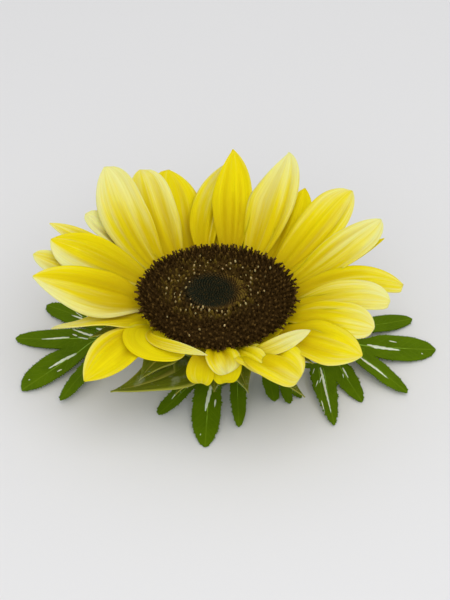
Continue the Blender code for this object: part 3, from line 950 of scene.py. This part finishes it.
def grid_places(master):
    """Each point of a blade's grid as (along, across): 0 to 1 along it, and -1 to 1 across it."""
    return [(0.5 + 0.5 * vertex.co.x, vertex.co.y) for vertex in master.data.vertices]


def shaped_copy(master, name, place_of):
    """A copy of the flat grid, each point put where place_of(along, across) says."""
    piece = placed(name, master.data.copy())
    for vertex, place in zip(piece.data.vertices, grid_places(master)):
        vertex.co = place_of(*place)
    return piece


def petal_grooves(draw):
    """A petal's long grooves: where across it, how wide, how deep and how far along it each one runs."""
    total = draw.choice((3, 3, 4))
    grooves = []
    for i in range(total):
        centre = GROOVE_SPAN * (2.0 * (i + 0.5) / total - 1.0) + draw.uniform(-0.09, 0.09)
        grooves.append((centre, draw.uniform(0.1, 0.18), draw.uniform(0.5, 1.0), draw.uniform(0.6, 1.0)))
    return grooves


def groove_depth(grooves, along, across):
    return sum(
        depth * math.exp(-(((across - centre) / width) ** 2)) * max(0.0, 1.0 - along / reach) ** 0.5
        for centre, width, depth, reach in grooves
    )


def petal_pale(petal, along, across):
    """How far a petal has turned lemon: most at its tip, then a painted highlight along one side, and its
    edges.
    """
    tip = petal.pale * (0.25 + 1.1 * along**1.6)
    # Painted highlight: lemon along one side of the petal, more towards its tip.
    side = 0.6 * max(0.0, petal.painted_highlight_side * across) * (0.4 + 0.6 * along)
    return tip + side + 0.15 * abs(across) ** 6 - 0.12


def shaped_petal(master, petal, settings, draw):
    """One ray petal, bent along its middle line, ridged, cupped and waved at its edges."""
    frames = blade_frames(petal, PETAL_ROWS)
    grooves = petal_grooves(draw)
    wave_phase = draw.uniform(0.0, FULL_TURN)
    wave_count = draw.uniform(1.0, 1.9)
    shift = draw.uniform(-0.25, 0.25)
    ridge = settings.ridge * petal.ridges

    def place_of(along, across):
        middle, side, normal, _ = frames[round(along * PETAL_ROWS)]
        part, blunt = (petal.left, petal.blunt[0]) if across > 0.0 else (petal.right, petal.blunt[1])
        half = 0.5 * petal.width * MM * max(petal_outline(along, petal.widest, blunt), 0.04)
        body = math.sin(math.pi * min(1.0, along * 1.02)) ** 0.6 if along < 0.98 else 0.0
        ridged = math.cos(FULL_TURN * (1.25 * across + shift)) - 1.1 * groove_depth(grooves, along, across)
        wave = settings.wave * abs(across) ** 3 * math.sin(FULL_TURN * wave_count * along + wave_phase)
        lift = settings.cup * (across * across - 0.4) + (ridge * ridged + wave) * body
        return middle + side * (across * half * part) + normal * (lift * half)

    piece = shaped_copy(master, "petal", place_of)
    places = grid_places(master)
    deep = min(1.0, petal.ridges)
    write_numbers(
        piece,
        pale=[petal_pale(petal, *place) for place in places],
        # The grooves' depth, which the finish paints as shade in them.
        groove=[deep * groove_depth(grooves, *place) for place in places],
        gold=0.35 + 0.6 * petal.gold,
        own=draw.uniform(0.0, 40.0),
    )
    return piece


def build_petals(settings):
    finish = petal_finish(settings)
    draw = random.Random(SEEDS["petals"])
    master = blade_grid("petal master", PETAL_ROWS, PETAL_COLUMNS)
    for name, petals in PETALS.items():
        piece = joined(name, [shaped_petal(master, petal, settings, draw) for petal in petals])
        thickened(piece, settings.thickness)
        faces_out(piece)
        finish_piece(piece, finish, "ray_petals")
    bpy.data.objects.remove(master)
    ring = turned("petal_ring", RING_PROFILE)
    faces_out(ring, 40)
    write_numbers(ring, pale=0.0, groove=0.0, gold=0.6, own=0.0)
    finish_piece(ring, finish, "ray_petals")


# ---------------------------------------------------------------- disc


def disc_line():
    """The disc's face as points of (radius, height, area out to it) in mm."""
    rows = [(*DISC_FACE[0], 0.0)]
    for (r0, z0), (r1, z1) in zip(DISC_FACE, DISC_FACE[1:]):
        rows.append((r1, z1, rows[-1][2] + math.pi * (r0 + r1) * math.hypot(r1 - r0, z1 - z0)))
    return rows


def on_disc(rows, area, angle, depth):
    """The point, normal and radius at this much area out from the middle, this deep under the face."""
    for (r0, z0, a0), (r1, z1, a1) in zip(rows, rows[1:]):
        if area <= a1:
            break
    part = min(1.0, (area - a0) / (a1 - a0))
    radius, climbed = r0 + (r1 - r0) * part, part
    if abs(r1 - r0) > STEEP_STEP:
        radius = math.sqrt(max(0.0, r0 * r0 + (r1 * r1 - r0 * r0) * part))
        climbed = (radius - r0) / (r1 - r0)
    slope = Vector((z0 - z1, r1 - r0)).normalized()
    normal = ray_at(angle) * slope.x + UP * slope.y
    point = ray_at(angle) * radius + UP * (z0 + (z1 - z0) * climbed) - normal * depth
    if point.y > 0.0:
        point.y *= DISC_BACK_SHARE
    return point * MM, normal, radius


def eye_and_shade_zone(point):
    """How far a point is from the darkest part of the eye, in radii: that part lies left of the disc's
    middle, as painted shade in the eye's hollow.
    """
    return math.hypot(point.x + EYE_SHADOW_SHIFT * MM, point.y) / (DISC_RADIUS * MM)


def open_floret():
    """A five-lobed tube with a dark column and two curled stigma arms."""
    tube = turned("open floret", *FLORET_TUBE)
    with editing(tube):
        mesh = bmesh.from_edit_mesh(tube.data)
        for vertex in mesh.verts:
            spoke = round(math.degrees(math.atan2(vertex.co.y, vertex.co.x)))
            vertex.select_set(vertex.co.z > 1.2 * MM and spoke % LOBE_STEP == LOBE_START)
        mesh.select_flush_mode()
        bmesh.update_edit_mesh(tube.data)
        bpy.ops.transform.resize(value=(1.5, 1.5, 1.0), center_override=(0.0, 0.0, 1.25 * MM))
        bpy.ops.transform.translate(value=(0.0, 0.0, 0.3 * MM))
    column = cone("column", 5, 0.26, 0.36, 1.5, (0.0, 0.0, 1.65))
    arms = [
        cone("stigma arm", 3, 0.24, 0.06, 0.55, (side * 0.24, 0.0, 2.55), side * math.radians(48.0))
        for side in (-1.0, 1.0)
    ]
    return joined("open floret", [tube, column, *arms])


def pollen_drop():
    sphere = bpy.ops.mesh.primitive_ico_sphere_add
    drop = primitive("drop", sphere, subdivisions=1, radius=DROP_SIZE * MM)
    with editing(drop):
        bpy.ops.transform.resize(value=DROP_STRETCH, center_override=(0.0, 0.0, 0.0))
    return drop


def disc_bed():
    """The closed bed under the florets, a little inside the disc's face and side."""
    sunk = [
        (radius, height - BED_DEPTH)
        if radius < BED_SHOULDER
        else (radius - BED_SIDE_DEPTH, height - BED_SIDE_DROP)
        for radius, height in DISC_FACE
    ]
    bed = turned("disc_bed", [(BED_MIDDLE, sunk[0][1]), *sunk[1:], *DISC_UNDERSIDE])
    faces_out(bed, 40)
    for vertex in bed.data.vertices:
        if vertex.co.y > 0.0:
            vertex.co.y *= DISC_BACK_SHARE
    write_numbers(bed, rise=0.0, tone=0.4, zone=[eye_and_shade_zone(vertex.co) for vertex in bed.data.vertices])
    return bed


def floret_places(settings, rows, eye_area, draw):
    """Places of the open and half-open florets in their spiral, of the chaff between and of the pollen."""
    opened, half_opened, chaff, drops = [], [], [], []
    total = rows[-1][2]
    for i in range(settings.open_florets):
        area = eye_area + (total - eye_area) * (i + 0.5) / settings.open_florets
        angle = i * GOLDEN_ANGLE
        tone = draw.random()
        splayed = area > SPLAY_FROM * total
        depth = RIM_FLORET_DEPTH if area > RIM_FROM * total else FLORET_DEPTH
        point, normal, radius = on_disc(rows, area, angle, depth)
        zone = eye_and_shade_zone(point)
        outward = Vector((point.x, point.y, 0.0)).normalized()
        lean = random_lean(draw, FLORET_LEAN)
        half_open = radius < HALF_OPEN_RADIUS and draw.random() < 1.2 - (radius - EYE_RADIUS) / 8.0
        turn = draw.uniform(0.0, FULL_TURN)
        size = draw.uniform(0.85, 1.2) * (1.15 if area > LARGE_FROM * total else 1.0)
        floret = stand_on(point, normal + outward * (0.4 if splayed else 0.1), turn, size, lean)
        (half_opened if half_open else opened).append((floret, tone, zone))

        beside, facing, _ = on_disc(rows, area, angle + CHAFF_STEP / max(radius, 8.0), CHAFF_DEPTH)
        chaff_lean = random_lean(draw, CHAFF_LEAN)
        size = draw.uniform(0.75, 1.0) if splayed else 1.0
        scale = stand_on(beside, facing + outward * (0.5 if splayed else 0.3), turn, size, chaff_lean)
        chaff.append((scale, tone, zone))

        middle, spread = DROP_RING
        chance = settings.pollen_share * math.exp(-(((radius - middle) / spread) ** 2))
        if radius > DROP_RADIUS and draw.random() < chance:
            top = point + normal * draw.uniform(1.8, 2.3) * MM
            drops.append((stand_on(top, normal, 0.0, draw.uniform(0.6, 1.3), lean), draw.random(), zone))
    return opened, half_opened, chaff, drops


def eye_places(settings, rows, eye_area, draw):
    """Places of the closed buds, smaller towards the middle of the eye."""
    places = []
    for i in range(settings.eye_buds):
        area = EYE_OVERLAP * eye_area * (i + 0.5) / settings.eye_buds
        point, normal, radius = on_disc(rows, area, i * GOLDEN_ANGLE, EYE_BUD_DEPTH)
        size = 0.9 + 0.35 * radius / EYE_RADIUS
        places.append((stand_on(point, normal, i * 1.3, size), draw.random(), eye_and_shade_zone(point)))
    return places


def build_disc(settings):
    finish = floret_finish(settings)
    draw = random.Random(SEEDS["disc"])
    finish_piece(disc_bed(), finish, "disc")
    rows = disc_line()
    eye_area = next(area for radius, _, area in rows if radius >= EYE_RADIUS)
    opened, half_opened, chaff, drops = floret_places(settings, rows, eye_area, draw)
    closed = eye_places(settings, rows, eye_area, draw)
    for name, master, places in (
        ("open_florets", open_floret(), opened),
        ("half_open_florets", turned("half-open floret", *HALF_OPEN), half_opened),
        ("chaff", turned("scale", *CHAFF), chaff),
        ("eye_buds", turned("eye bud", *EYE_BUD), closed),
    ):
        piece = joined_copies(name, master, places)
        faces_out(piece, 50)
        finish_piece(piece, finish, "disc")
    grains = joined_copies("pollen_drops", pollen_drop(), drops)
    faces_out(grains)
    finish_piece(grains, pollen_finish(settings), "disc")


# ---------------------------------------------------------------- calyx and stem


def hair_master():
    return cone("hair", 3, 0.035, 0.0, 1.0, (0.0, 0.0, 0.5))


def bract_surface(bract, frames, wave_phase):
    """place_of(along, across) on one bract, hollowed along its middle, with softly waved edges."""

    def place_of(along, across):
        middle, side, normal, _ = frames[round(along * BRACT_ROWS)]
        half = 0.5 * bract.width * MM * max(bract_outline(along), 0.02)
        lift = 0.2 * (across * across - 0.4) - 0.09 * math.exp(-((across / 0.16) ** 2))
        lift += 0.07 * across**2 * math.sin(9.0 * along + wave_phase)
        return middle + side * (across * half) + normal * (lift * half)

    return place_of


def bract_hairs(settings, frames, place_of, draw):
    """Places of one bract's hairs, on both its faces and out from its edges."""
    hairs = []
    for _ in range(settings.hairs):
        along = draw.uniform(0.06, 0.95)
        edge = draw.random() < 0.4
        across = draw.choice((-1.0, 1.0)) if edge else draw.uniform(-0.95, 0.95)
        _, side, normal, forward = frames[round(along * BRACT_ROWS)]
        face = normal * (1.0 if draw.random() < 0.45 else -1.0)
        out = side * across if edge else face
        point = place_of(along, across) + (Vector() if edge else face * 0.2 * MM)
        size = settings.hair_length / MM * draw.uniform(0.5, 1.2)
        hairs.append((stand_on(point, out + forward * draw.uniform(0.1, 0.9), 0.0, size), draw.random(), 0.0))
    return hairs


def receptacle_hairs(settings, draw):
    hairs = []
    for _ in range(RECEPTACLE_HAIRS):
        flat = ray_at(draw.uniform(0.0, FULL_TURN))
        part = draw.uniform(0.15, 0.92) * (len(RECEPTACLE_PROFILE) - 1)
        low = int(part)
        (r0, z0), (r1, z1) = RECEPTACLE_PROFILE[low : low + 2]
        normal = (flat * (z0 - z1) + UP * (r1 - r0)).normalized()
        size = settings.hair_length / MM * draw.uniform(0.5, 1.1)
        point = (flat * (r0 + (r1 - r0) * (part - low)) + UP * (z0 + (z1 - z0) * (part - low))) * MM
        hairs.append((stand_on(point, normal + flat * 0.3, 0.0, size), draw.random(), 0.0))
    return hairs


def receptacle_uv(place):
    """Round the receptacle u runs to and fro, so that the bract's veins mark it without a middle rib."""
    spoke = math.atan2(place.y, place.x) / FULL_TURN
    return 0.08 + 0.3 * abs((spoke * 24.0) % 2.0 - 1.0), place.z / (40.0 * MM)


def build_calyx(settings):
    finish = bract_finish(settings)
    draw = random.Random(SEEDS["calyx"])
    master = blade_grid("bract master", BRACT_ROWS, BRACT_COLUMNS)
    pieces, hairs = [], []
    for bract in BRACTS:
        frames = blade_frames(bract, BRACT_ROWS)
        place_of = bract_surface(bract, frames, draw.uniform(0.0, FULL_TURN))
        pieces.append(shaped_copy(master, "bract", place_of))
        write_numbers(pieces[-1], own=draw.uniform(0.0, 40.0))
        hairs += bract_hairs(settings, frames, place_of, draw)
    bracts = joined("bracts", pieces)
    bpy.data.objects.remove(master)
    thickened(bracts, settings.thickness)
    faces_out(bracts)
    finish_piece(bracts, finish, "calyx")

    receptacle = turned("receptacle", RECEPTACLE_PROFILE)
    faces_out(receptacle, 60)
    write_numbers(receptacle, own=3.0)
    write_uv(receptacle, receptacle_uv)
    finish_piece(receptacle, finish, "calyx")

    hairs += receptacle_hairs(settings, draw)
    down = joined_copies("calyx_hairs", hair_master(), hairs)
    finish_piece(down, hair_finish(settings), "calyx")


def build_stem(settings, calyx_settings):
    stem = turned("stem_skin", STEM_PROFILE, STEM_SIDES)
    for vertex in stem.data.vertices:
        angle = math.atan2(vertex.co.y, vertex.co.x)
        ribbed = 0.982 + 0.012 * math.cos(11.0 * angle) + 0.008 * math.cos(17.0 * angle + 1.0)
        vertex.co.x *= ribbed
        vertex.co.y *= ribbed
    faces_out(stem, 40)
    finish_piece(stem, stem_finish(settings), "stem")
    draw = random.Random(SEEDS["stem"])
    places = []
    for _ in range(settings.hairs):
        flat = ray_at(draw.uniform(0.0, FULL_TURN))
        point = (flat * STEM_SKIN + UP * draw.uniform(*STEM_HAIR_SPAN)) * MM
        stray = Vector((draw.uniform(-0.2, 0.2), draw.uniform(-0.2, 0.2), draw.uniform(-0.35, 0.25)))
        places.append((stand_on(point, flat + stray, 0.0, draw.uniform(0.8, 1.7)), draw.random(), 0.0))
    hairs = joined_copies("stem_hairs", hair_master(), places)
    finish_piece(hairs, hair_finish(calyx_settings), "stem")


# ---------------------------------------------------------------- leaves


def left_of(ray):
    return Vector((-ray.y, ray.x)).normalized()


def finger_half_width(along, finger):
    """Half-width of a leaf's finger: narrower at its root, widest further out, then its tip."""
    if along < finger.widest:
        grown = math.sin(0.5 * math.pi * along / finger.widest) ** 2
        return 0.5 * finger.width * (finger.waist + (1.0 - finger.waist) * grown)
    full = tip_width(along, finger.widest, 2.4 + 1.5 * finger.blunt, 0.7 - 0.25 * finger.blunt)
    return 0.5 * finger.width * full


def finger_outline(finger, draw):
    """A finger's outline in mm from its root to its tip and back, with small uneven teeth."""
    root, tip = Vector(finger.root), Vector(finger.tip)
    ray = tip - root
    left = left_of(ray)
    sides = []
    for sign, part in ((-1.0, finger.right), (1.0, finger.left)):
        side = [root + left * (sign * 0.4 * finger.width * part)]
        along = 0.05
        while along < 0.95:
            tooth = draw.uniform(0.75, 1.3) * TOOTH_LENGTH / ray.length
            depth = finger.teeth * draw.uniform(0.35, 1.5) * (1.0 - 0.2 * along)
            for place, grown in ((along + 0.72 * tooth, depth), (along + tooth, 0.0)):
                if place < 0.98:
                    half = finger_half_width(place, finger) * part + grown
                    side.append(root + ray * place + left * (sign * half))
            along += tooth
        side.append(root + ray * 0.99 + left * (sign * 0.06 * finger.width))
        sides.append(side)
    return [place * MM for place in sides[0] + [tip] + sides[1][::-1]]


def flat_piece(name, outline, thickness):
    """A filled flat curve given its thickness and made a mesh."""
    line = bpy.data.curves.new(name, "CURVE")
    line.dimensions = "2D"
    line.fill_mode = "BOTH"
    line.extrude = 0.5 * thickness
    spline = line.splines.new("POLY")
    spline.points.add(len(outline) - 1)
    spline.use_cyclic_u = True
    for point, place in zip(spline.points, outline):
        point.co = (place.x, place.y, 0.0, 1.0)
    piece = placed(name, line)
    choose(piece)
    bpy.ops.object.convert(target="MESH")
    with editing(piece):
        bpy.ops.mesh.remove_doubles(threshold=FLAT_MERGE)
        bpy.ops.mesh.normals_make_consistent(inside=False)
    return piece


def fused(base, pieces):
    """One body out of a base and the pieces that overlap it."""
    group = bpy.data.collections.new("leaf parts")
    bpy.context.scene.collection.children.link(group)
    for piece in pieces:
        group.objects.link(piece)
    choose(base)
    union = base.modifiers.new("Fuse", "BOOLEAN")
    union.operation = "UNION"
    union.solver = "MANIFOLD"
    union.operand_type = "COLLECTION"
    union.collection = group
    bpy.ops.object.modifier_apply(modifier="Fuse")
    for piece in pieces:
        bpy.data.objects.remove(piece)
    bpy.data.collections.remove(group)
    return base


def leaf_surface(fall, fingers):
    """height_at(x, y) of a leaf's middle layer: it falls from the stem to its tips, with soft swells
    that die out where it nears the ground."""
    farthest = max(math.hypot(*finger.tip) for finger in fingers) * MM

    def height_at(x, y):
        part = (math.hypot(x, y) - LEAF_STALK_START) / (farthest - LEAF_STALK_START)
        height = LEAF_TIP_HEIGHT + fall * MM * (1.0 - min(1.0, max(0.0, part))) ** 1.5
        room = min(1.0, max(0.0, (height - LEAF_TIP_HEIGHT) / SWELL_ROOM))
        swell = math.sin(x * 310.0 + 1.0) * math.cos(y * 270.0) + 0.5 * math.sin(y * 520.0 + x * 240.0)
        return height + LEAF_SWELL * room * swell

    return height_at


def cut_across(piece, direction):
    """Cuts the leaf across at even steps along a direction, so that it can bend."""
    spans = [vertex.co.to_2d().dot(direction) for vertex in piece.data.vertices]
    first, last = min(spans), max(spans)
    with editing(piece):
        for cut in range(1, int((last - first) / LEAF_CUT_STEP)):
            place = direction * (first + cut * LEAF_CUT_STEP)
            bpy.ops.mesh.select_all(action="SELECT")
            bpy.ops.mesh.bisect(plane_co=place.to_3d(), plane_no=direction.to_3d())


def leaf_uv(fingers, place):
    """u across and v along the finger whose middle line runs nearest, relative to its width."""
    best = None
    for finger in fingers:
        root, tip = Vector(finger.root) * MM, Vector(finger.tip) * MM
        ray = tip - root
        away = place.to_2d() - root
        along = away.dot(ray) / ray.length_squared
        across = away.cross(ray) / ray.length / (finger.width * MM)
        apart = abs(across) + 2.0 * max(0.0, -along, along - 1.0)
        if best is None or apart < best[0]:
            best = (apart, across, along)
    return 0.5 + best[1], best[2]


def rib_strip(height_at, line, pale, master):
    """A tapered rib along a leaf's top, from its start to its end, half sunk into the leaf."""
    *ends, width = line
    start, end = Vector(ends[:2]) * MM, Vector(ends[2:]) * MM
    ray = end - start

    def place_of(along, across):
        narrow = (1.0 - along**2.5) * (0.55 + 0.45 * min(1.0, along * 5.0))
        narrow *= 1.0 + 0.2 * math.sin(along * ray.length / MM * 2.3 + 7.0 * across + ends[0])
        narrow = max(narrow, 0.05)
        spot = start + ray * along + left_of(ray) * (across * 0.5 * width * MM * narrow)
        bulge = (0.32 * (1.0 - across * across) ** 0.5 - 0.06) * min(width, 0.8) * narrow
        top = height_at(spot.x, spot.y) + LEAF_TOP + (bulge - RIB_SUNK) * MM
        return Vector((spot.x, spot.y, top))

    piece = shaped_copy(master, "rib", place_of)
    write_numbers(piece, pale=pale)
    return piece


def leaf_blade(name, thickness, draw):
    """One flat leaf: its stalk fused with its toothed fingers, and cut across both ways into small faces."""
    palm, _, fingers = LEAVES[name]
    middle = Vector(palm) * MM
    outward = middle.normalized()
    sideways = Vector((-outward.y, outward.x))
    edge = sideways * 0.5 * LEAF_STALK_WIDTH
    start = outward * LEAF_STALK_START
    outline = [start + edge, start - edge, middle - edge, middle + outward * 2.0 * MM, middle + edge]
    stalk = flat_piece(f"{name}_blade", outline, thickness)
    leaf = fused(stalk, [flat_piece("finger", finger_outline(finger, draw), thickness) for finger in fingers])
    with editing(leaf):
        bpy.ops.mesh.remove_doubles(threshold=FLAT_MERGE)
        bpy.ops.mesh.dissolve_limited(angle_limit=0.01)
    for direction in (outward, sideways):
        cut_across(leaf, direction)
    with editing(leaf):
        bpy.ops.mesh.quads_convert_to_tris()
    return leaf


def leaf_ribs(name, height_at, master):
    """A leaf's pale ribs, the green ones down its fingers, and the one along its stalk."""
    palm, _, fingers = LEAVES[name]
    ribs = [rib_strip(height_at, line, 1.0, master) for line in PALE_RIBS[name]]
    for finger in fingers:
        end = Vector(finger.root).lerp(Vector(finger.tip), 0.86)
        ribs.append(rib_strip(height_at, (*finger.root, *end, 0.045 * finger.width), 0.0, master))
    stalk_line = (*(Vector(palm).normalized() * 9.0), *palm, 1.0)
    ribs.append(rib_strip(height_at, stalk_line, 0.15, master))
    return joined(f"{name}_ribs", ribs)


def build_leaves(settings):
    finish = leaf_finish(settings)
    rib_look = rib_finish(settings)
    rib_master = blade_grid("rib master", RIB_ROWS, RIB_COLUMNS)
    draw = random.Random(SEEDS["leaves"])
    for name, (_, fall, fingers) in LEAVES.items():
        height_at = leaf_surface(fall, fingers)
        leaf = leaf_blade(name, settings.thickness, draw)
        write_uv(leaf, lambda place: leaf_uv(fingers, place))
        for vertex in leaf.data.vertices:
            vertex.co.z += height_at(vertex.co.x, vertex.co.y) + LEAF_TOP - 0.5 * settings.thickness
        faces_out(leaf, 45)
        finish_piece(leaf, finish, name)
        ribs = leaf_ribs(name, height_at, rib_master)
        thickened(ribs, RIB_WALL, -1.0)
        faces_out(ribs)
        finish_piece(ribs, rib_look, name)
    bpy.data.objects.remove(rib_master)


# ---------------------------------------------------------------- stage


def aimed(name, data, place, aim):
    """A light or a camera that looks from its place at its aim."""
    holder = placed(name, data)
    holder.location = place
    holder.rotation_mode = "QUATERNION"
    holder.rotation_quaternion = (Vector(aim) - Vector(place)).to_track_quat("-Z", "Y")
    return holder


def soft_light(name, place, size, power, tint):
    light = bpy.data.lights.new(name, "AREA")
    light.shape = "DISK"
    light.size = size
    light.energy = power
    light.color = tint
    aimed(name, light, place, LIGHT_AIM)


def build_stage(settings):
    scene = bpy.context.scene
    floor = primitive("floor", bpy.ops.mesh.primitive_plane_add, size=FLOOR_SIZE)
    made = Finish("pale floor", roughness=0.9, shine=0.1)
    made.colour(settings.floor)
    floor.data.materials.append(made.material)

    for name, light in LIGHTS.items():
        soft_light(name, *light)
    world = bpy.data.worlds.new("soft surround")
    world.use_nodes = True
    surround = world.node_tree.nodes["Background"]
    surround.inputs["Color"].default_value = (1.0, 1.0, 1.0, 1.0)
    surround.inputs["Strength"].default_value = SURROUND_STRENGTH
    scene.world = world
    scene.view_settings.view_transform = "Standard"

    back = Vector((0.0, -math.cos(settings.elevation), math.sin(settings.elevation)))
    above = Vector((0.0, math.sin(settings.elevation), math.cos(settings.elevation)))
    aim = Vector(VIEW_MIDDLE) - above * VIEW_DROP
    camera = bpy.data.cameras.new("camera")
    camera.sensor_width = 36.0
    camera.lens = camera.sensor_width * settings.distance / VIEW_HEIGHT
    camera.clip_start = 0.01
    scene.camera = aimed("camera", camera, aim + back * settings.distance, aim)


# ---------------------------------------------------------------- operators and panel


class SUNFLOWER_OT_petals(bpy.types.Operator):
    """Builds the ray petals in four groups and the ring that they grow from"""

    bl_idname = "sunflower.petals"
    bl_label = "Ray Petals"

    def execute(self, context):
        build_petals(context.scene.sunflower_petals)
        return {"FINISHED"}


class SUNFLOWER_OT_disc(bpy.types.Operator):
    """Builds the disc's bed, its open and half-open florets, its eye and its pollen"""

    bl_idname = "sunflower.disc"
    bl_label = "Disc"

    def execute(self, context):
        build_disc(context.scene.sunflower_disc)
        return {"FINISHED"}


class SUNFLOWER_OT_calyx(bpy.types.Operator):
    """Builds the receptacle, its bracts and their fine hairs"""

    bl_idname = "sunflower.calyx"
    bl_label = "Calyx"

    def execute(self, context):
        build_calyx(context.scene.sunflower_calyx)
        return {"FINISHED"}


class SUNFLOWER_OT_stem(bpy.types.Operator):
    """Builds the stem's stub and its hairs"""

    bl_idname = "sunflower.stem"
    bl_label = "Stem"

    def execute(self, context):
        build_stem(context.scene.sunflower_stem, context.scene.sunflower_calyx)
        return {"FINISHED"}


class SUNFLOWER_OT_leaves(bpy.types.Operator):
    """Builds the leaves and their ribs"""

    bl_idname = "sunflower.leaves"
    bl_label = "Leaves"

    def execute(self, context):
        build_leaves(context.scene.sunflower_leaves)
        return {"FINISHED"}


class SUNFLOWER_OT_stage(bpy.types.Operator):
    """Builds the floor, the lights and the camera"""

    bl_idname = "sunflower.stage"
    bl_label = "Stage"

    def execute(self, context):
        build_stage(context.scene.sunflower_stage)
        return {"FINISHED"}


OPERATORS = (
    SUNFLOWER_OT_stem,
    SUNFLOWER_OT_calyx,
    SUNFLOWER_OT_petals,
    SUNFLOWER_OT_disc,
    SUNFLOWER_OT_leaves,
    SUNFLOWER_OT_stage,
)


class SUNFLOWER_PT_panel(bpy.types.Panel):
    """Lists the flower's pieces and their settings"""

    bl_label = "Sunflower"
    bl_idname = "SUNFLOWER_PT_panel"
    bl_space_type = "VIEW_3D"
    bl_region_type = "UI"
    bl_category = "Sunflower"

    def draw(self, context):
        for operator in OPERATORS:
            self.layout.operator(operator.bl_idname)
        for label, group in GROUPS.items():
            box = self.layout.box()
            settings = getattr(context.scene, label)
            for key in group.__annotations__:
                box.prop(settings, key)


def register():
    for label, group in GROUPS.items():
        bpy.utils.register_class(group)
        setattr(bpy.types.Scene, label, bpy.props.PointerProperty(type=group))
    for made in (*OPERATORS, SUNFLOWER_PT_panel):
        bpy.utils.register_class(made)


def unregister():
    for made in (SUNFLOWER_PT_panel, *reversed(OPERATORS)):
        bpy.utils.unregister_class(made)
    for label, group in GROUPS.items():
        delattr(bpy.types.Scene, label)
        bpy.utils.unregister_class(group)


def main():
    register()
    bpy.ops.sunflower.stem()
    bpy.ops.sunflower.calyx()
    bpy.ops.sunflower.petals()
    bpy.ops.sunflower.disc()
    bpy.ops.sunflower.leaves()
    bpy.ops.sunflower.stage()


if __name__ == "__main__":
    main()
